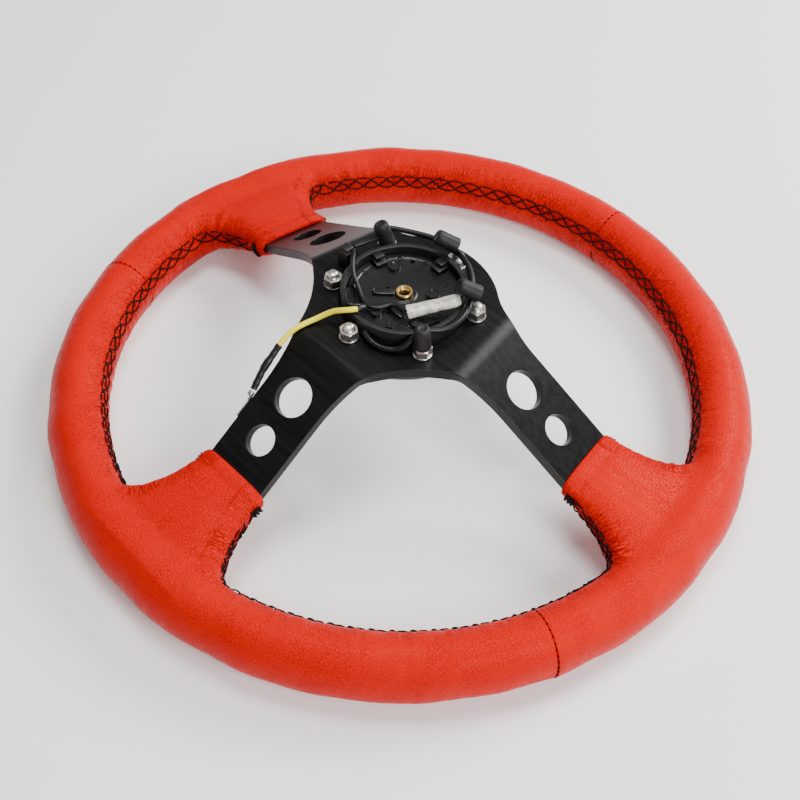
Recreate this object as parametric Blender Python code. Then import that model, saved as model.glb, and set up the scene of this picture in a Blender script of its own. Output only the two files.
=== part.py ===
# Deep dished three spoke steering wheel with a sprung horn button, lying on its face.
# +Z points from the driver's side to the steering column, +Y to twelve o'clock.
# The origin is on the wheel's axis, in the plane of the front of the rim.

import bmesh
import bpy
import math
from mathutils import Matrix, Vector
from mathutils.geometry import interpolate_bezier

# Driving dimensions, in metres
GAP = 0.0003                      # play between pieces that touch
RIM_RADIUS = 0.1605               # circle through the middle of the rim's section
RIM_HALF_WIDTH = 0.0145
RIM_HALF_HEIGHT = 0.0165
RIM_STEPS = 60                    # facets round the rim
SECTION_STEPS = 12                # facets round the rim's section
LEATHER = 0.0015                  # thickness of the cover
SEAMS = (90.0, 202.0, 339.0)      # where two cover panels meet, in degrees
LACING_ANGLE = 155.0              # place of the laced slit on the rim's section
LACING_HALF_WIDTH = 0.0020

CORE_INNER = 0.154
CORE_OUTER = 0.167
CORE_THICK = 0.005

DISH = 0.060                      # from the middle of the rim to the back of the hub
HUB_BACK = RIM_HALF_HEIGHT + DISH
PLATE_THICK = 0.005
SPOKES = {"right": 10.0, "left": 170.0, "bottom": 270.0}
ARM_HALF_WIDTH = 0.0175
ARM_SLOPE = math.radians(34.0)
ARM_FOLD = 0.0473                 # where the hub's and the arm's planes cross
FOLD_RADIUS = 0.015
ARM_END = 0.1655
TAB_BACK = RIM_HALF_HEIGHT + 0.005
LOBE_RADIUS = 0.045
LOBE_FILLET = 0.040
CROTCH_FILLET = 0.069
LARGE_HOLE = (0.0695, 0.0095)     # distance from the axis, radius
SMALL_HOLE = (0.090, 0.0075)
HUB_HOLE = 0.0305
BOLT_CIRCLE = 0.035
BOLT_ANGLES = (30.0, 90.0, 150.0, 210.0, 270.0, 330.0)
BOLT_HOLE = 0.0028
PAD_START = 0.106                 # where the leather begins on each arm

TRIM_RADIUS = 0.0420
TRIM_THICK = 0.0048
TRIM_INNER = 0.0309
SLEEVE_OUTER = 0.030
SLEEVE_INNER = 0.0273
SLEEVE_TOP = HUB_BACK + 0.009
FLANGE_THICK = 0.0012
BODY_RADIUS = 0.0268
BODY_BACK = HUB_BACK + 0.005
BODY_WALL = 0.0025
CAP_RADIUS = 0.0222
CAP_FLANGE = 0.0240
CAP_FRONT = HUB_BACK - 0.0172
PRESS_TRAVEL = 0.002              # how far the button can be pressed
INSERT_TOP = HUB_BACK + 0.008
SPRING_CIRCLE = 0.0145
SPRING_RADIUS = 0.0030
SPRING_WIRE = 0.0004
SPRING_TURNS = 4.5
SPRING_FACETS = 8                 # to a turn

SCREW_TIP = HUB_BACK + 0.0085
HEAD_RADIUS = 0.0038
SHANK = 0.0025
HEAD_DEPTH = 0.0028
NUT_FLATS = 0.0040
NUT_THICK = 0.0040
NUT_TURN = 17.0                   # degrees that each nut is turned past the last
WASHER_THICK = 0.0010
WASHER_RADIUS = 0.0046


def clear_scene():
    for item in list(bpy.data.objects):
        bpy.data.objects.remove(item, do_unlink=True)
    for mesh in list(bpy.data.meshes):
        bpy.data.meshes.remove(mesh)


def finish(name, colour, roughness, metallic=0.0):
    material = bpy.data.materials.new(name)
    material.use_nodes = True
    shader = material.node_tree.nodes["Principled BSDF"]
    shader.inputs["Base Color"].default_value = (*colour, 1.0)
    shader.inputs["Roughness"].default_value = roughness
    shader.inputs["Metallic"].default_value = metallic
    material.diffuse_color = (*colour, 1.0)
    return material


def add_object(name, mesh_data, material=None, sharp=35.0):
    item = bpy.data.objects.new(name, mesh_data)
    bpy.context.scene.collection.objects.link(item)
    if material is not None:
        mesh_data.materials.clear()
        mesh_data.materials.append(material)
    mesh_data.shade_smooth()
    mesh_data.set_sharp_from_angle(angle=math.radians(sharp))
    return item


def from_bmesh(name, bm, material=None):
    bmesh.ops.recalc_face_normals(bm, faces=bm.faces[:])
    mesh_data = bpy.data.meshes.new(name)
    bm.to_mesh(mesh_data)
    bm.free()
    return add_object(name, mesh_data, material)


def combine(target, tool, operation="DIFFERENCE"):
    """Cuts or joins the target with a tool, which is used up."""
    modifier = target.modifiers.new("combine", "BOOLEAN")
    modifier.object = tool
    modifier.operation = operation
    modifier.solver = "EXACT"
    bpy.context.view_layer.update()
    evaluated = target.evaluated_get(bpy.context.evaluated_depsgraph_get())
    result = bpy.data.meshes.new_from_object(evaluated)
    target.modifiers.remove(modifier)
    target.data = result
    bpy.data.objects.remove(tool, do_unlink=True)
    return target


def polar(radius, degrees, height=0.0):
    angle = math.radians(degrees)
    return Vector((radius * math.cos(angle), radius * math.sin(angle), height))


def lathe(bm, profile, segments, place=None, closed=True):
    """Turns a profile of (radius, height) points about Z; a radius of 0 closes on the axis."""
    place = place or Matrix.Identity(4)
    rings = []
    for radius, height in profile:
        if radius == 0.0:
            rings.append([bm.verts.new(place @ Vector((0.0, 0.0, height)))])
        else:
            ring = []
            for step in range(segments):
                turn = 360.0 * step / segments
                ring.append(bm.verts.new(place @ polar(radius, turn, height)))
            rings.append(ring)
    pairs = list(zip(rings, rings[1:]))
    if closed:
        pairs.append((rings[-1], rings[0]))
    for lower, upper in pairs:
        for step in range(segments):
            after = (step + 1) % segments
            corners = [lower[step % len(lower)], lower[after % len(lower)]]
            corners += [upper[after % len(upper)], upper[step % len(upper)]]
            unique = list(dict.fromkeys(corners))
            if len(unique) > 2:
                bm.faces.new(unique)


def turned(name, profile, segments, material=None, closed=True, place=None):
    bm = bmesh.new()
    lathe(bm, profile, segments, place, closed)
    return from_bmesh(name, bm, material)


def swept(name, section, start, end, material=None):
    """Carries a closed (radius, height) section round the wheel's axis, with flat ends.

    The facets fall on the same angles on every piece, so that nested pieces match.
    """
    facet = 360.0 / RIM_STEPS
    whole = end - start >= 360.0
    first = 0 if whole else math.ceil((start + 0.5) / facet)
    last = RIM_STEPS if whole else math.ceil((end - 0.5) / facet)
    turns = [step * facet for step in range(first, last)]
    if not whole:
        turns = [start] + turns + [end]
    bm = bmesh.new()
    rings = []
    for turn in turns:
        rings.append([bm.verts.new(polar(radius, turn, height)) for radius, height in section])
    count = len(section)
    for ring, after in zip(rings, rings[1:] + (rings[:1] if whole else [])):
        for corner in range(count):
            beyond = (corner + 1) % count
            bm.faces.new((ring[corner], after[corner], after[beyond], ring[beyond]))
    if not whole:
        bm.faces.new(rings[0])
        bm.faces.new(list(reversed(rings[-1])))
    return from_bmesh(name, bm, material)


def ellipse_section(inset, first=0.0, last=360.0, steps=SECTION_STEPS):
    """Points on the rim's section, moved inwards by an inset."""
    width = RIM_HALF_WIDTH - inset
    height = RIM_HALF_HEIGHT - inset
    points = []
    count = steps if last - first >= 360.0 else steps + 1
    for index in range(count):
        angle = math.radians(first + (last - first) * index / steps)
        radius = RIM_RADIUS + width * math.cos(angle)
        points.append((radius, RIM_HALF_HEIGHT + height * math.sin(angle)))
    return points


def cylinder(bm, radius, base, top, segments=16):
    """A solid cylinder between two points."""
    axis = Vector(top) - Vector(base)
    place = Matrix.Translation(Vector(base)) @ axis.to_track_quat("Z", "Y").to_matrix().to_4x4()
    profile = [(0.0, 0.0), (radius, 0.0), (radius, axis.length), (0.0, axis.length)]
    lathe(bm, profile, segments, place, closed=False)


def box(bm, lowest, highest, place=None):
    centre = (Vector(lowest) + Vector(highest)) / 2
    size = Vector(highest) - Vector(lowest)
    shape = Matrix.Translation(centre) @ Matrix.Diagonal((*size, 1.0))
    bmesh.ops.create_cube(bm, size=1.0, matrix=(place or Matrix.Identity(4)) @ shape)


def smooth_route(points, spacing):
    """A smooth curve through hand placed points, read again at even steps."""
    points = [Vector(point) for point in points]
    fine = []
    for index in range(len(points) - 1):
        before = points[max(index - 1, 0)]
        here, there = points[index], points[index + 1]
        beyond = points[min(index + 2, len(points) - 1)]
        reach = (there - here).length / 3.0
        lead = (there - before).normalized() * reach
        trail = (beyond - here).normalized() * reach
        piece = interpolate_bezier(here, here + lead, there - trail, there, 24)
        fine += piece if index == 0 else piece[1:]
    total = sum((b - a).length for a, b in zip(fine, fine[1:]))
    count = max(2, round(total / spacing))
    even = [fine[0]]
    step = total / count
    wanted, travelled = step, 0.0
    for a, b in zip(fine, fine[1:]):
        length = (b - a).length
        while travelled + length >= wanted - 1e-9 and len(even) < count:
            even.append(a.lerp(b, (wanted - travelled) / length))
            wanted += step
        travelled += length
    even.append(fine[-1])
    return even


def tube(name, points, diameter, spacing, material):
    """A round cord along a smooth route, with filled ends."""
    route = smooth_route(points, spacing)
    curve = bpy.data.curves.new(name, "CURVE")
    curve.dimensions = "3D"
    curve.bevel_depth = diameter / 2
    curve.bevel_resolution = 2
    curve.use_fill_caps = True
    spline = curve.splines.new("POLY")
    spline.points.add(len(route) - 1)
    for point, place in zip(spline.points, route):
        point.co = (*place, 1.0)
    curve.materials.append(material)
    item = bpy.data.objects.new(name, curve)
    bpy.context.scene.collection.objects.link(item)
    return item


def arm_profile():
    """Stations along an arm's back face: distance from the axis and height."""
    bend = FOLD_RADIUS * math.tan(ARM_SLOPE / 2)
    stations = [(0.0, HUB_BACK)]
    centre = (ARM_FOLD - bend, HUB_BACK - FOLD_RADIUS)
    for index in range(5):
        angle = ARM_SLOPE * index / 4
        reach = centre[0] + FOLD_RADIUS * math.sin(angle)
        stations.append((reach, centre[1] + FOLD_RADIUS * math.cos(angle)))
    foot = ARM_FOLD + (HUB_BACK - TAB_BACK) / math.tan(ARM_SLOPE)
    centre = (foot + bend, TAB_BACK + FOLD_RADIUS)
    for index in range(5):
        angle = ARM_SLOPE * (4 - index) / 4
        reach = centre[0] - FOLD_RADIUS * math.sin(angle)
        stations.append((reach, centre[1] - FOLD_RADIUS * math.cos(angle)))
    stations.append((ARM_END, TAB_BACK))
    return stations


def offset_profile(stations, depth):
    """The same stations moved to the front by a depth, with mitred folds."""
    normals = []
    for (u0, z0), (u1, z1) in zip(stations, stations[1:]):
        along = Vector((u1 - u0, z1 - z0)).normalized()
        normals.append(Vector((-along.y, along.x)))
    moved = []
    for index, (u, z) in enumerate(stations):
        before = normals[max(index - 1, 0)]
        after = normals[min(index, len(normals) - 1)]
        middle = (before + after).normalized()
        step = middle * (depth / middle.dot(after))
        moved.append((u - step.x, z - step.y))
    return moved


def read_profile(base, moved, u):
    """Where a point at distance u on the base profile lies on the moved one."""
    for (u0, _), (u1, _), p0, p1 in zip(base, base[1:], moved, moved[1:]):
        if u <= u1 or (u1, _) == base[-1]:
            t = (u - u0) / (u1 - u0)
            return p0[0] + (p1[0] - p0[0]) * t, p0[1] + (p1[1] - p0[1]) * t
    return moved[-1]


def fold_point(point, base, moved):
    """Folds a point of the flat outline down along the arm it lies on."""
    best, along = 0.0, None
    for degrees in SPOKES.values():
        direction = polar(1.0, degrees)
        reach = point.dot(direction)
        if along is None or reach > best:
            best, along = reach, direction
    if best <= base[1][0]:
        return Vector((point.x, point.y, moved[0][1]))
    u, z = read_profile(base, moved, best)
    flat = point + along * (u - best)
    return Vector((flat.x, flat.y, z))


def arc(centre, radius, first, last, steps):
    points = []
    for index in range(steps + 1):
        angle = math.radians(first + (last - first) * index / steps)
        points.append(centre + Vector((radius * math.cos(angle), radius * math.sin(angle), 0.0)))
    return points


def plate_outline():
    """The plate seen from behind: lobe, arms and the fillets between them."""
    right, left, bottom = SPOKES["right"], SPOKES["left"], SPOKES["bottom"]
    reach = math.sqrt((LOBE_RADIUS + LOBE_FILLET) ** 2 - (ARM_HALF_WIDTH + LOBE_FILLET) ** 2)
    swing = math.degrees(math.atan2(ARM_HALF_WIDTH + LOBE_FILLET, reach))
    outline = []

    def corner(degrees, u, v):
        return polar(u, degrees) + polar(v, degrees + 90.0)

    # Over the top of the hub, from the right arm to the left one
    outline.append(corner(right, ARM_END, ARM_HALF_WIDTH))
    centre = corner(right, reach, ARM_HALF_WIDTH + LOBE_FILLET)
    outline += arc(centre, LOBE_FILLET, right - 90.0, right + swing - 180.0, 8)
    outline += arc(Vector(), LOBE_RADIUS, right + swing, left - swing, 14)[1:]
    centre = corner(left, reach, -ARM_HALF_WIDTH - LOBE_FILLET)
    outline += arc(centre, LOBE_FILLET, left - swing + 180.0, left + 90.0, 8)[1:]
    outline.append(corner(left, ARM_END, -ARM_HALF_WIDTH))
    outline.append(corner(left, ARM_END, ARM_HALF_WIDTH))
    # Down the two crotches, with the bottom arm between them
    half = math.radians(bottom - left) / 2
    distance = (ARM_HALF_WIDTH + CROTCH_FILLET) / math.sin(half)
    centre = polar(distance, (left + bottom) / 2)
    outline += arc(centre, CROTCH_FILLET, left - 90.0, bottom - 270.0, 10)
    outline.append(corner(bottom, ARM_END, -ARM_HALF_WIDTH))
    outline.append(corner(bottom, ARM_END, ARM_HALF_WIDTH))
    centre = polar(distance, (bottom + right + 360.0) / 2)
    outline += arc(centre, CROTCH_FILLET, 180.0, 90.0 + right, 10)
    outline.append(corner(right, ARM_END, -ARM_HALF_WIDTH))
    return outline


def folded_plate(name, outline, spokes, lift, thickness, material=None):
    """Cuts the flat outline at each fold line, folds it and gives it a thickness."""
    stations = arm_profile()
    back = offset_profile(stations, -lift)
    front = offset_profile(stations, thickness - lift)
    bm = bmesh.new()
    bm.faces.new([bm.verts.new(point) for point in outline])
    for degrees in spokes:
        direction = polar(1.0, degrees)
        for u, _ in stations[1:-1]:
            cuts = bm.verts[:] + bm.edges[:] + bm.faces[:]
            bmesh.ops.bisect_plane(
                bm, geom=cuts, plane_co=direction * u, plane_no=direction, dist=1e-7)
    if bm.faces[:][0].normal.z < 0:
        bmesh.ops.reverse_faces(bm, faces=bm.faces[:])
    flat = {vert: vert.co.copy() for vert in bm.verts}
    rim = [edge for edge in bm.edges if edge.is_boundary]
    faces = bm.faces[:]
    twins = {}
    for vert, place in flat.items():
        vert.co = fold_point(place, stations, back)
        twins[vert] = bm.verts.new(fold_point(place, stations, front))
    for face in faces:
        bm.faces.new([twins[vert] for vert in reversed(face.verts)])
    for edge in rim:
        first, second = edge.verts
        bm.faces.new((first, second, twins[second], twins[first]))
    bmesh.ops.triangulate(bm, faces=bm.faces[:])
    return from_bmesh(name, bm, material)


def arm_frame(degrees, u):
    """Placement on an arm's back face, with Z along the face's normal."""
    z = HUB_BACK - (u - ARM_FOLD) * math.tan(ARM_SLOPE)
    lean = Matrix.Rotation(ARM_SLOPE, 4, "Y")
    return Matrix.Rotation(math.radians(degrees), 4, "Z") @ Matrix.Translation((u, 0.0, z)) @ lean


def make_spoke_plate(material):
    plate = folded_plate("spoke_plate", plate_outline(), SPOKES.values(), 0.0, PLATE_THICK, material)
    bm = bmesh.new()
    for degrees in SPOKES.values():
        for reach, radius in (LARGE_HOLE, SMALL_HOLE):
            place = arm_frame(degrees, reach)
            top = place @ Vector((0.0, 0.0, PLATE_THICK))
            cylinder(bm, radius, place @ Vector((0.0, 0.0, -2 * PLATE_THICK)), top, 20)
    for degrees in BOLT_ANGLES:
        low = polar(BOLT_CIRCLE, degrees, HUB_BACK - 2 * PLATE_THICK)
        cylinder(bm, BOLT_HOLE, low, polar(BOLT_CIRCLE, degrees, HUB_BACK + PLATE_THICK), 10)
    for place in rivet_places():
        cylinder(bm, RIVET_HOLE, place, place + Vector((0.0, 0.0, 2 * TAB_BACK)), 8)
    cylinder(bm, HUB_HOLE, (0.0, 0.0, HUB_BACK - 0.01), (0.0, 0.0, HUB_BACK + 0.01), 40)
    return combine(plate, from_bmesh("plate_holes", bm))


# The spokes' ends are riveted on to the rim's core
RIVET_HOLE = 0.0022
RIVET_SHANK = 0.0019
RIVET_HEAD = 0.0035
RIVET_HEAD_THICK = 0.0012


def rivet_places():
    places = []
    for degrees in SPOKES.values():
        for side in (-0.009, 0.009):
            places.append(polar(RIM_RADIUS - 0.0005, degrees) + polar(side, degrees + 90.0))
    return places


def core_section(grow):
    top = TAB_BACK - PLATE_THICK - GAP
    inner, outer = CORE_INNER - grow, CORE_OUTER + grow
    low, high = top - CORE_THICK - grow, top + grow
    return [(inner, low), (outer, low), (outer, high), (inner, high)]


def make_rim_core(material):
    core = swept("rim_core", core_section(0.0), 0.0, 360.0, material)
    bm = bmesh.new()
    for place in rivet_places():
        cylinder(bm, RIVET_HOLE, place, place + Vector((0.0, 0.0, 2 * TAB_BACK)), 8)
    return combine(core, from_bmesh("core_holes", bm))


def make_rivets(material):
    top = TAB_BACK + GAP
    low = TAB_BACK - PLATE_THICK - CORE_THICK - 2 * GAP
    profile = [(0.0, low - RIVET_HEAD_THICK), (RIVET_HEAD, low - RIVET_HEAD_THICK)]
    profile += [(RIVET_HEAD, low), (RIVET_SHANK, low), (RIVET_SHANK, top), (RIVET_HEAD, top)]
    profile += [(RIVET_HEAD, top + RIVET_HEAD_THICK), (0.0, top + RIVET_HEAD_THICK)]
    for number, place in enumerate(rivet_places(), 1):
        turned("core_rivet_%d" % number, profile, 8, material, False, Matrix.Translation(place))


# The laced stretches of the rim, in degrees
PAD_SWING = 18.0                  # from a spoke's middle to the end of the lacing
LACINGS = {
    "lacing_top": (SPOKES["right"] + PAD_SWING, SPOKES["left"] - PAD_SWING),
    "lacing_left": (SPOKES["left"] + PAD_SWING, SPOKES["bottom"] - PAD_SWING),
    "lacing_right": (SPOKES["bottom"] + PAD_SWING, SPOKES["right"] + 360.0 - PAD_SWING),
}

# Each spoke's padded end: distance along the arm, half width, top and bottom heights
PAD_STATIONS = (
    (0.106, 0.0197, 0.0390, 0.0285),
    (0.112, 0.0203, 0.0390, 0.0240),
    (0.120, 0.0215, 0.0383, 0.0185),
    (0.128, 0.0240, 0.0374, 0.0140),
    (0.136, 0.0285, 0.0362, 0.0095),
    (0.143, 0.0350, 0.0350, 0.0060),
    (0.150, 0.0400, 0.0340, 0.0040),
    (0.160, 0.0400, 0.0325, 0.0020),
)
PAD_POINTS = 14
PAD_WALL = 0.0050                 # leather folded under at the mouth of the pad
PAD_SQUARENESS = 3.0


def pad_stations(first):
    """The stations from a distance along the arm, with one worked out at that distance."""
    rest = [station for station in PAD_STATIONS if station[0] > first + 1e-6]
    before = PAD_STATIONS[len(PAD_STATIONS) - len(rest) - 1]
    t = (first - before[0]) / (rest[0][0] - before[0])
    return [tuple(a + (b - a) * t for a, b in zip(before, rest[0]))] + rest


def padded_end(name, degrees, inset, first):
    """Lofts the padded end of one spoke; the inset shrinks it for what lies inside."""
    turn = Matrix.Rotation(math.radians(degrees), 4, "Z")
    bm = bmesh.new()
    rings = []
    for reach, half_width, top, low in pad_stations(first):
        ring = []
        middle = (top + low) / 2
        half_height = (top - low) / 2 - inset
        for index in range(PAD_POINTS):
            angle = 2 * math.pi * (index + 0.5) / PAD_POINTS
            c, s = math.cos(angle), math.sin(angle)
            across = math.copysign(abs(c) ** (2 / PAD_SQUARENESS), c) * (half_width - inset)
            up = math.copysign(abs(s) ** (2 / PAD_SQUARENESS), s) * half_height
            ring.append(bm.verts.new(turn @ Vector((reach, across, middle + up))))
        rings.append(ring)
    for ring, after in zip(rings, rings[1:]):
        for index in range(PAD_POINTS):
            beyond = (index + 1) % PAD_POINTS
            bm.faces.new((ring[index], ring[beyond], after[beyond], after[index]))
    bm.faces.new(rings[0])
    bm.faces.new(list(reversed(rings[-1])))
    return from_bmesh(name, bm)


def arm_clearance(degrees, start):
    """The room that one arm needs inside its padded end."""
    half = ARM_HALF_WIDTH + GAP
    corners = []
    for u, v in ((start, -half), (ARM_END + GAP, -half), (ARM_END + GAP, half), (start, half)):
        corners.append(polar(u, degrees) + polar(v, degrees + 90.0))
    return folded_plate("arm_clearance", corners, (degrees,), GAP, PLATE_THICK + 2 * GAP)


def rivet_clearance():
    bm = bmesh.new()
    top = TAB_BACK + RIVET_HEAD_THICK + 3 * GAP
    low = TAB_BACK - PLATE_THICK - CORE_THICK - RIVET_HEAD_THICK - 4 * GAP
    for place in rivet_places():
        base = Vector((place.x, place.y, low))
        cylinder(bm, RIVET_HEAD + GAP, base, Vector((place.x, place.y, top)), 8)
    return from_bmesh("rivet_clearance", bm)


def make_foam(material):
    """Moulded foam on the core and on the ends of the spokes."""
    inset = LEATHER + GAP
    foam = swept("rim_foam", ellipse_section(inset), 0.0, 360.0, material)
    for degrees in SPOKES.values():
        combine(foam, padded_end("pad", degrees, inset, PAD_START + PAD_WALL + GAP), "UNION")
    combine(foam, swept("core_room", core_section(GAP), 0.0, 360.0))
    for degrees in SPOKES.values():
        combine(foam, arm_clearance(degrees, PAD_START - 0.002))
    return combine(foam, rivet_clearance())


def lacing_section(half_width, inner, outer):
    """A block across the slit, from one depth under the leather's face to another."""
    opening = math.degrees(half_width / RIM_HALF_WIDTH)
    first, last = LACING_ANGLE - opening, LACING_ANGLE + opening
    section = ellipse_section(outer, first, last, 1)
    section += reversed(ellipse_section(inner, first, last, 1))
    return section


def make_cover(name, degrees, start, end, material):
    """One leather panel: a slit sleeve round the rim, joined to its spoke's pad."""
    margin = math.degrees(GAP / 2 / RIM_RADIUS)
    cover = swept(name, ellipse_section(0.0), start + margin, end - margin, material)
    combine(cover, padded_end("pad", degrees, 0.0, PAD_START), "UNION")
    combine(cover, swept("inside", ellipse_section(LEATHER), start - 1.0, end + 1.0))
    combine(cover, padded_end("pad_inside", degrees, LEATHER, PAD_START + PAD_WALL))
    combine(cover, arm_clearance(degrees, PAD_START - 0.002))
    for first, last in LACINGS.values():
        slit = lacing_section(LACING_HALF_WIDTH, 2 * LEATHER, -LEATHER)
        play = math.degrees(GAP / RIM_RADIUS)
        combine(cover, swept("slit", slit, first - play, last + play))
    return cover


def make_lacing(name, start, end, material):
    """The laced joint that closes the slit between two spokes."""
    section = lacing_section(LACING_HALF_WIDTH - GAP, LEATHER, 0.0)
    return swept(name, section, start, end, material)


def make_trim_ring(material):
    """Front ring that clamps the horn's sleeve against the plate."""
    back = HUB_BACK - PLATE_THICK - FLANGE_THICK - 2 * GAP
    front = back - TRIM_THICK
    profile = [(TRIM_INNER, back), (TRIM_INNER, front), (TRIM_RADIUS - 0.0024, front)]
    profile += [(TRIM_RADIUS - 0.0004, front + 0.0028), (TRIM_RADIUS, back)]
    ring = turned("trim_ring", profile, 40, material)
    combine(ring, bolt_holes(front - 0.01, front + HEAD_DEPTH + GAP, HEAD_RADIUS + GAP))
    return combine(ring, bolt_holes(front - 0.01, back + 0.01))


def bolt_holes(low, high, radius=BOLT_HOLE):
    bm = bmesh.new()
    for degrees in BOLT_ANGLES:
        place = polar(BOLT_CIRCLE, degrees)
        cylinder(bm, radius, place + Vector((0, 0, low)), place + Vector((0, 0, high)), 10)
    return from_bmesh("bolt_holes", bm)


def make_sleeve(material):
    """Collar that carries the horn button through the plate, with its clamped flange."""
    top = HUB_BACK - PLATE_THICK - GAP
    low = top - FLANGE_THICK
    profile = [(SLEEVE_INNER, low), (TRIM_RADIUS - 0.001, low), (TRIM_RADIUS - 0.001, top)]
    profile += [(SLEEVE_OUTER, top), (SLEEVE_OUTER, SLEEVE_TOP), (SLEEVE_INNER, SLEEVE_TOP)]
    sleeve = turned("horn_sleeve", profile, 36, material)
    return combine(sleeve, bolt_holes(low - 0.01, top + 0.01))


def make_horn_body(material):
    """Cup that holds the button, its springs and the fixed contact."""
    mouth = HUB_BACK - 0.012
    lip_back = HUB_BACK - PLATE_THICK - FLANGE_THICK - 3 * GAP
    inner = CAP_FLANGE + 0.0004
    profile = [(CAP_RADIUS + 0.0004, mouth), (0.0304, mouth), (0.0304, lip_back)]
    profile += [(BODY_RADIUS, lip_back), (BODY_RADIUS, BODY_BACK), (0.0043, BODY_BACK)]
    profile += [(0.0043, BODY_BACK - BODY_WALL), (inner, BODY_BACK - BODY_WALL)]
    profile += [(inner, mouth + 0.0017), (CAP_RADIUS + 0.0004, mouth + 0.0017)]
    return turned("horn_body", profile, 36, material)


def make_horn_cap(material):
    """The button that the driver presses, held by a flange behind the body's mouth."""
    back = HUB_BACK - 0.0085
    profile = [(0.0, CAP_FRONT), (0.0120, CAP_FRONT + 0.0004), (0.0185, CAP_FRONT + 0.0012)]
    profile += [(0.0212, CAP_FRONT + 0.0027), (CAP_RADIUS, CAP_FRONT + 0.0047)]
    profile += [(CAP_RADIUS, back - 0.0015), (CAP_FLANGE, back - 0.0015), (CAP_FLANGE, back)]
    profile += [(0.0200, back), (0.0200, CAP_FRONT + 0.0042), (0.0, CAP_FRONT + 0.0032)]
    return turned("horn_cap", profile, 36, material, closed=False)


def make_moving_contact(material):
    """Contact disc on a stem behind the button."""
    top = HUB_BACK - 0.0043
    base = CAP_FRONT + 0.0032 + GAP + 0.0003
    profile = [(0.0, base), (0.0030, base), (0.0030, top - 0.001), (0.0080, top - 0.001)]
    profile += [(0.0080, top), (0.0, top)]
    return turned("moving_contact", profile, 20, material, closed=False)


def make_insert(material):
    """Threaded brass insert, which is also the fixed contact."""
    low = HUB_BACK - 0.0020
    rim_low = BODY_BACK + GAP
    profile = [(0.0022, low), (0.0038, low), (0.0038, rim_low), (0.0041, rim_low)]
    profile += [(0.0041, INSERT_TOP - 0.0004), (0.0037, INSERT_TOP), (0.0029, INSERT_TOP)]
    profile += [(0.0022, INSERT_TOP - 0.0008)]
    return turned("contact_insert", profile, 20, material)


def make_springs(material):
    """Three compression springs between the button and the back of its body."""
    low = CAP_FRONT + 0.0042 + GAP + SPRING_WIRE
    high = BODY_BACK - BODY_WALL - GAP - SPRING_WIRE
    springs = []
    for number, degrees in enumerate((30.0, 150.0, 270.0), 1):
        centre = polar(SPRING_CIRCLE, degrees)
        steps = round(SPRING_TURNS * SPRING_FACETS)
        points = []
        for index in range(steps + 1):
            turn = index / SPRING_FACETS * 360.0
            height = low + (high - low) * index / steps
            points.append(centre + polar(SPRING_RADIUS, turn, height))
        springs.append(wire_coil("return_spring_%d" % number, points, centre, material))
    return springs


def wire_coil(name, points, centre, material, sides=5):
    """A round wire along a coil, as a closed tube."""
    bm = bmesh.new()
    rings = []
    for index, point in enumerate(points):
        before, after = points[max(index - 1, 0)], points[min(index + 1, len(points) - 1)]
        along = (after - before).normalized()
        outward = Vector((point.x - centre.x, point.y - centre.y, 0.0)).normalized()
        outward = (outward - along * outward.dot(along)).normalized()
        upward = along.cross(outward)
        ring = []
        for side in range(sides):
            angle = 2 * math.pi * side / sides
            spread = outward * math.cos(angle) + upward * math.sin(angle)
            ring.append(bm.verts.new(point + SPRING_WIRE * spread))
        rings.append(ring)
    for ring, after in zip(rings, rings[1:]):
        for side in range(sides):
            beyond = (side + 1) % sides
            bm.faces.new((ring[side], ring[beyond], after[beyond], after[side]))
    bm.faces.new(rings[0])
    bm.faces.new(list(reversed(rings[-1])))
    return from_bmesh(name, bm, material)


def make_clip(name, degrees, material):
    """Snap clip that holds the body down inside the sleeve."""
    bm = bmesh.new()
    place = Matrix.Rotation(math.radians(degrees), 4, "Z")
    low = BODY_BACK + GAP
    box(bm, (0.0215, -0.0030, low), (0.0268, 0.0030, low + 0.0018), place)
    return from_bmesh(name, bm, material)


def make_contact_strip(material):
    """Spring strip that carries current from the insert to the lead."""
    bm = bmesh.new()
    place = Matrix.Rotation(math.radians(224.0), 4, "Z")
    low = BODY_BACK + GAP
    box(bm, (0.0046, -0.0020, low), (0.0150, 0.0020, low + 0.0007), place)
    return from_bmesh("contact_strip", bm, material)


def make_screws(material):
    """Six screws through trim ring, flange and plate, each with a socket in its head."""
    front = HUB_BACK - PLATE_THICK - FLANGE_THICK - TRIM_THICK - 2 * GAP
    head_back = front + HEAD_DEPTH
    profile = [(0.0, front + 0.0018), (0.0018, front + 0.0018), (0.0018, front)]
    profile += [(HEAD_RADIUS, front), (HEAD_RADIUS, head_back), (SHANK, head_back)]
    profile += [(SHANK, SCREW_TIP - 0.0006), (SHANK - 0.0006, SCREW_TIP), (0.0, SCREW_TIP)]
    for number, degrees in enumerate(BOLT_ANGLES, 1):
        place = Matrix.Translation(polar(BOLT_CIRCLE, degrees))
        turned("hub_screw_%d" % number, profile, 10, material, False, place)


def make_washers(material):
    low = HUB_BACK + GAP
    high = low + WASHER_THICK
    profile = [(BOLT_HOLE, low), (WASHER_RADIUS, low), (WASHER_RADIUS, high), (BOLT_HOLE, high)]
    for number, degrees in enumerate(BOLT_ANGLES, 1):
        place = Matrix.Translation(polar(BOLT_CIRCLE, degrees))
        turned("hub_washer_%d" % number, profile, 10, material, place=place)


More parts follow.
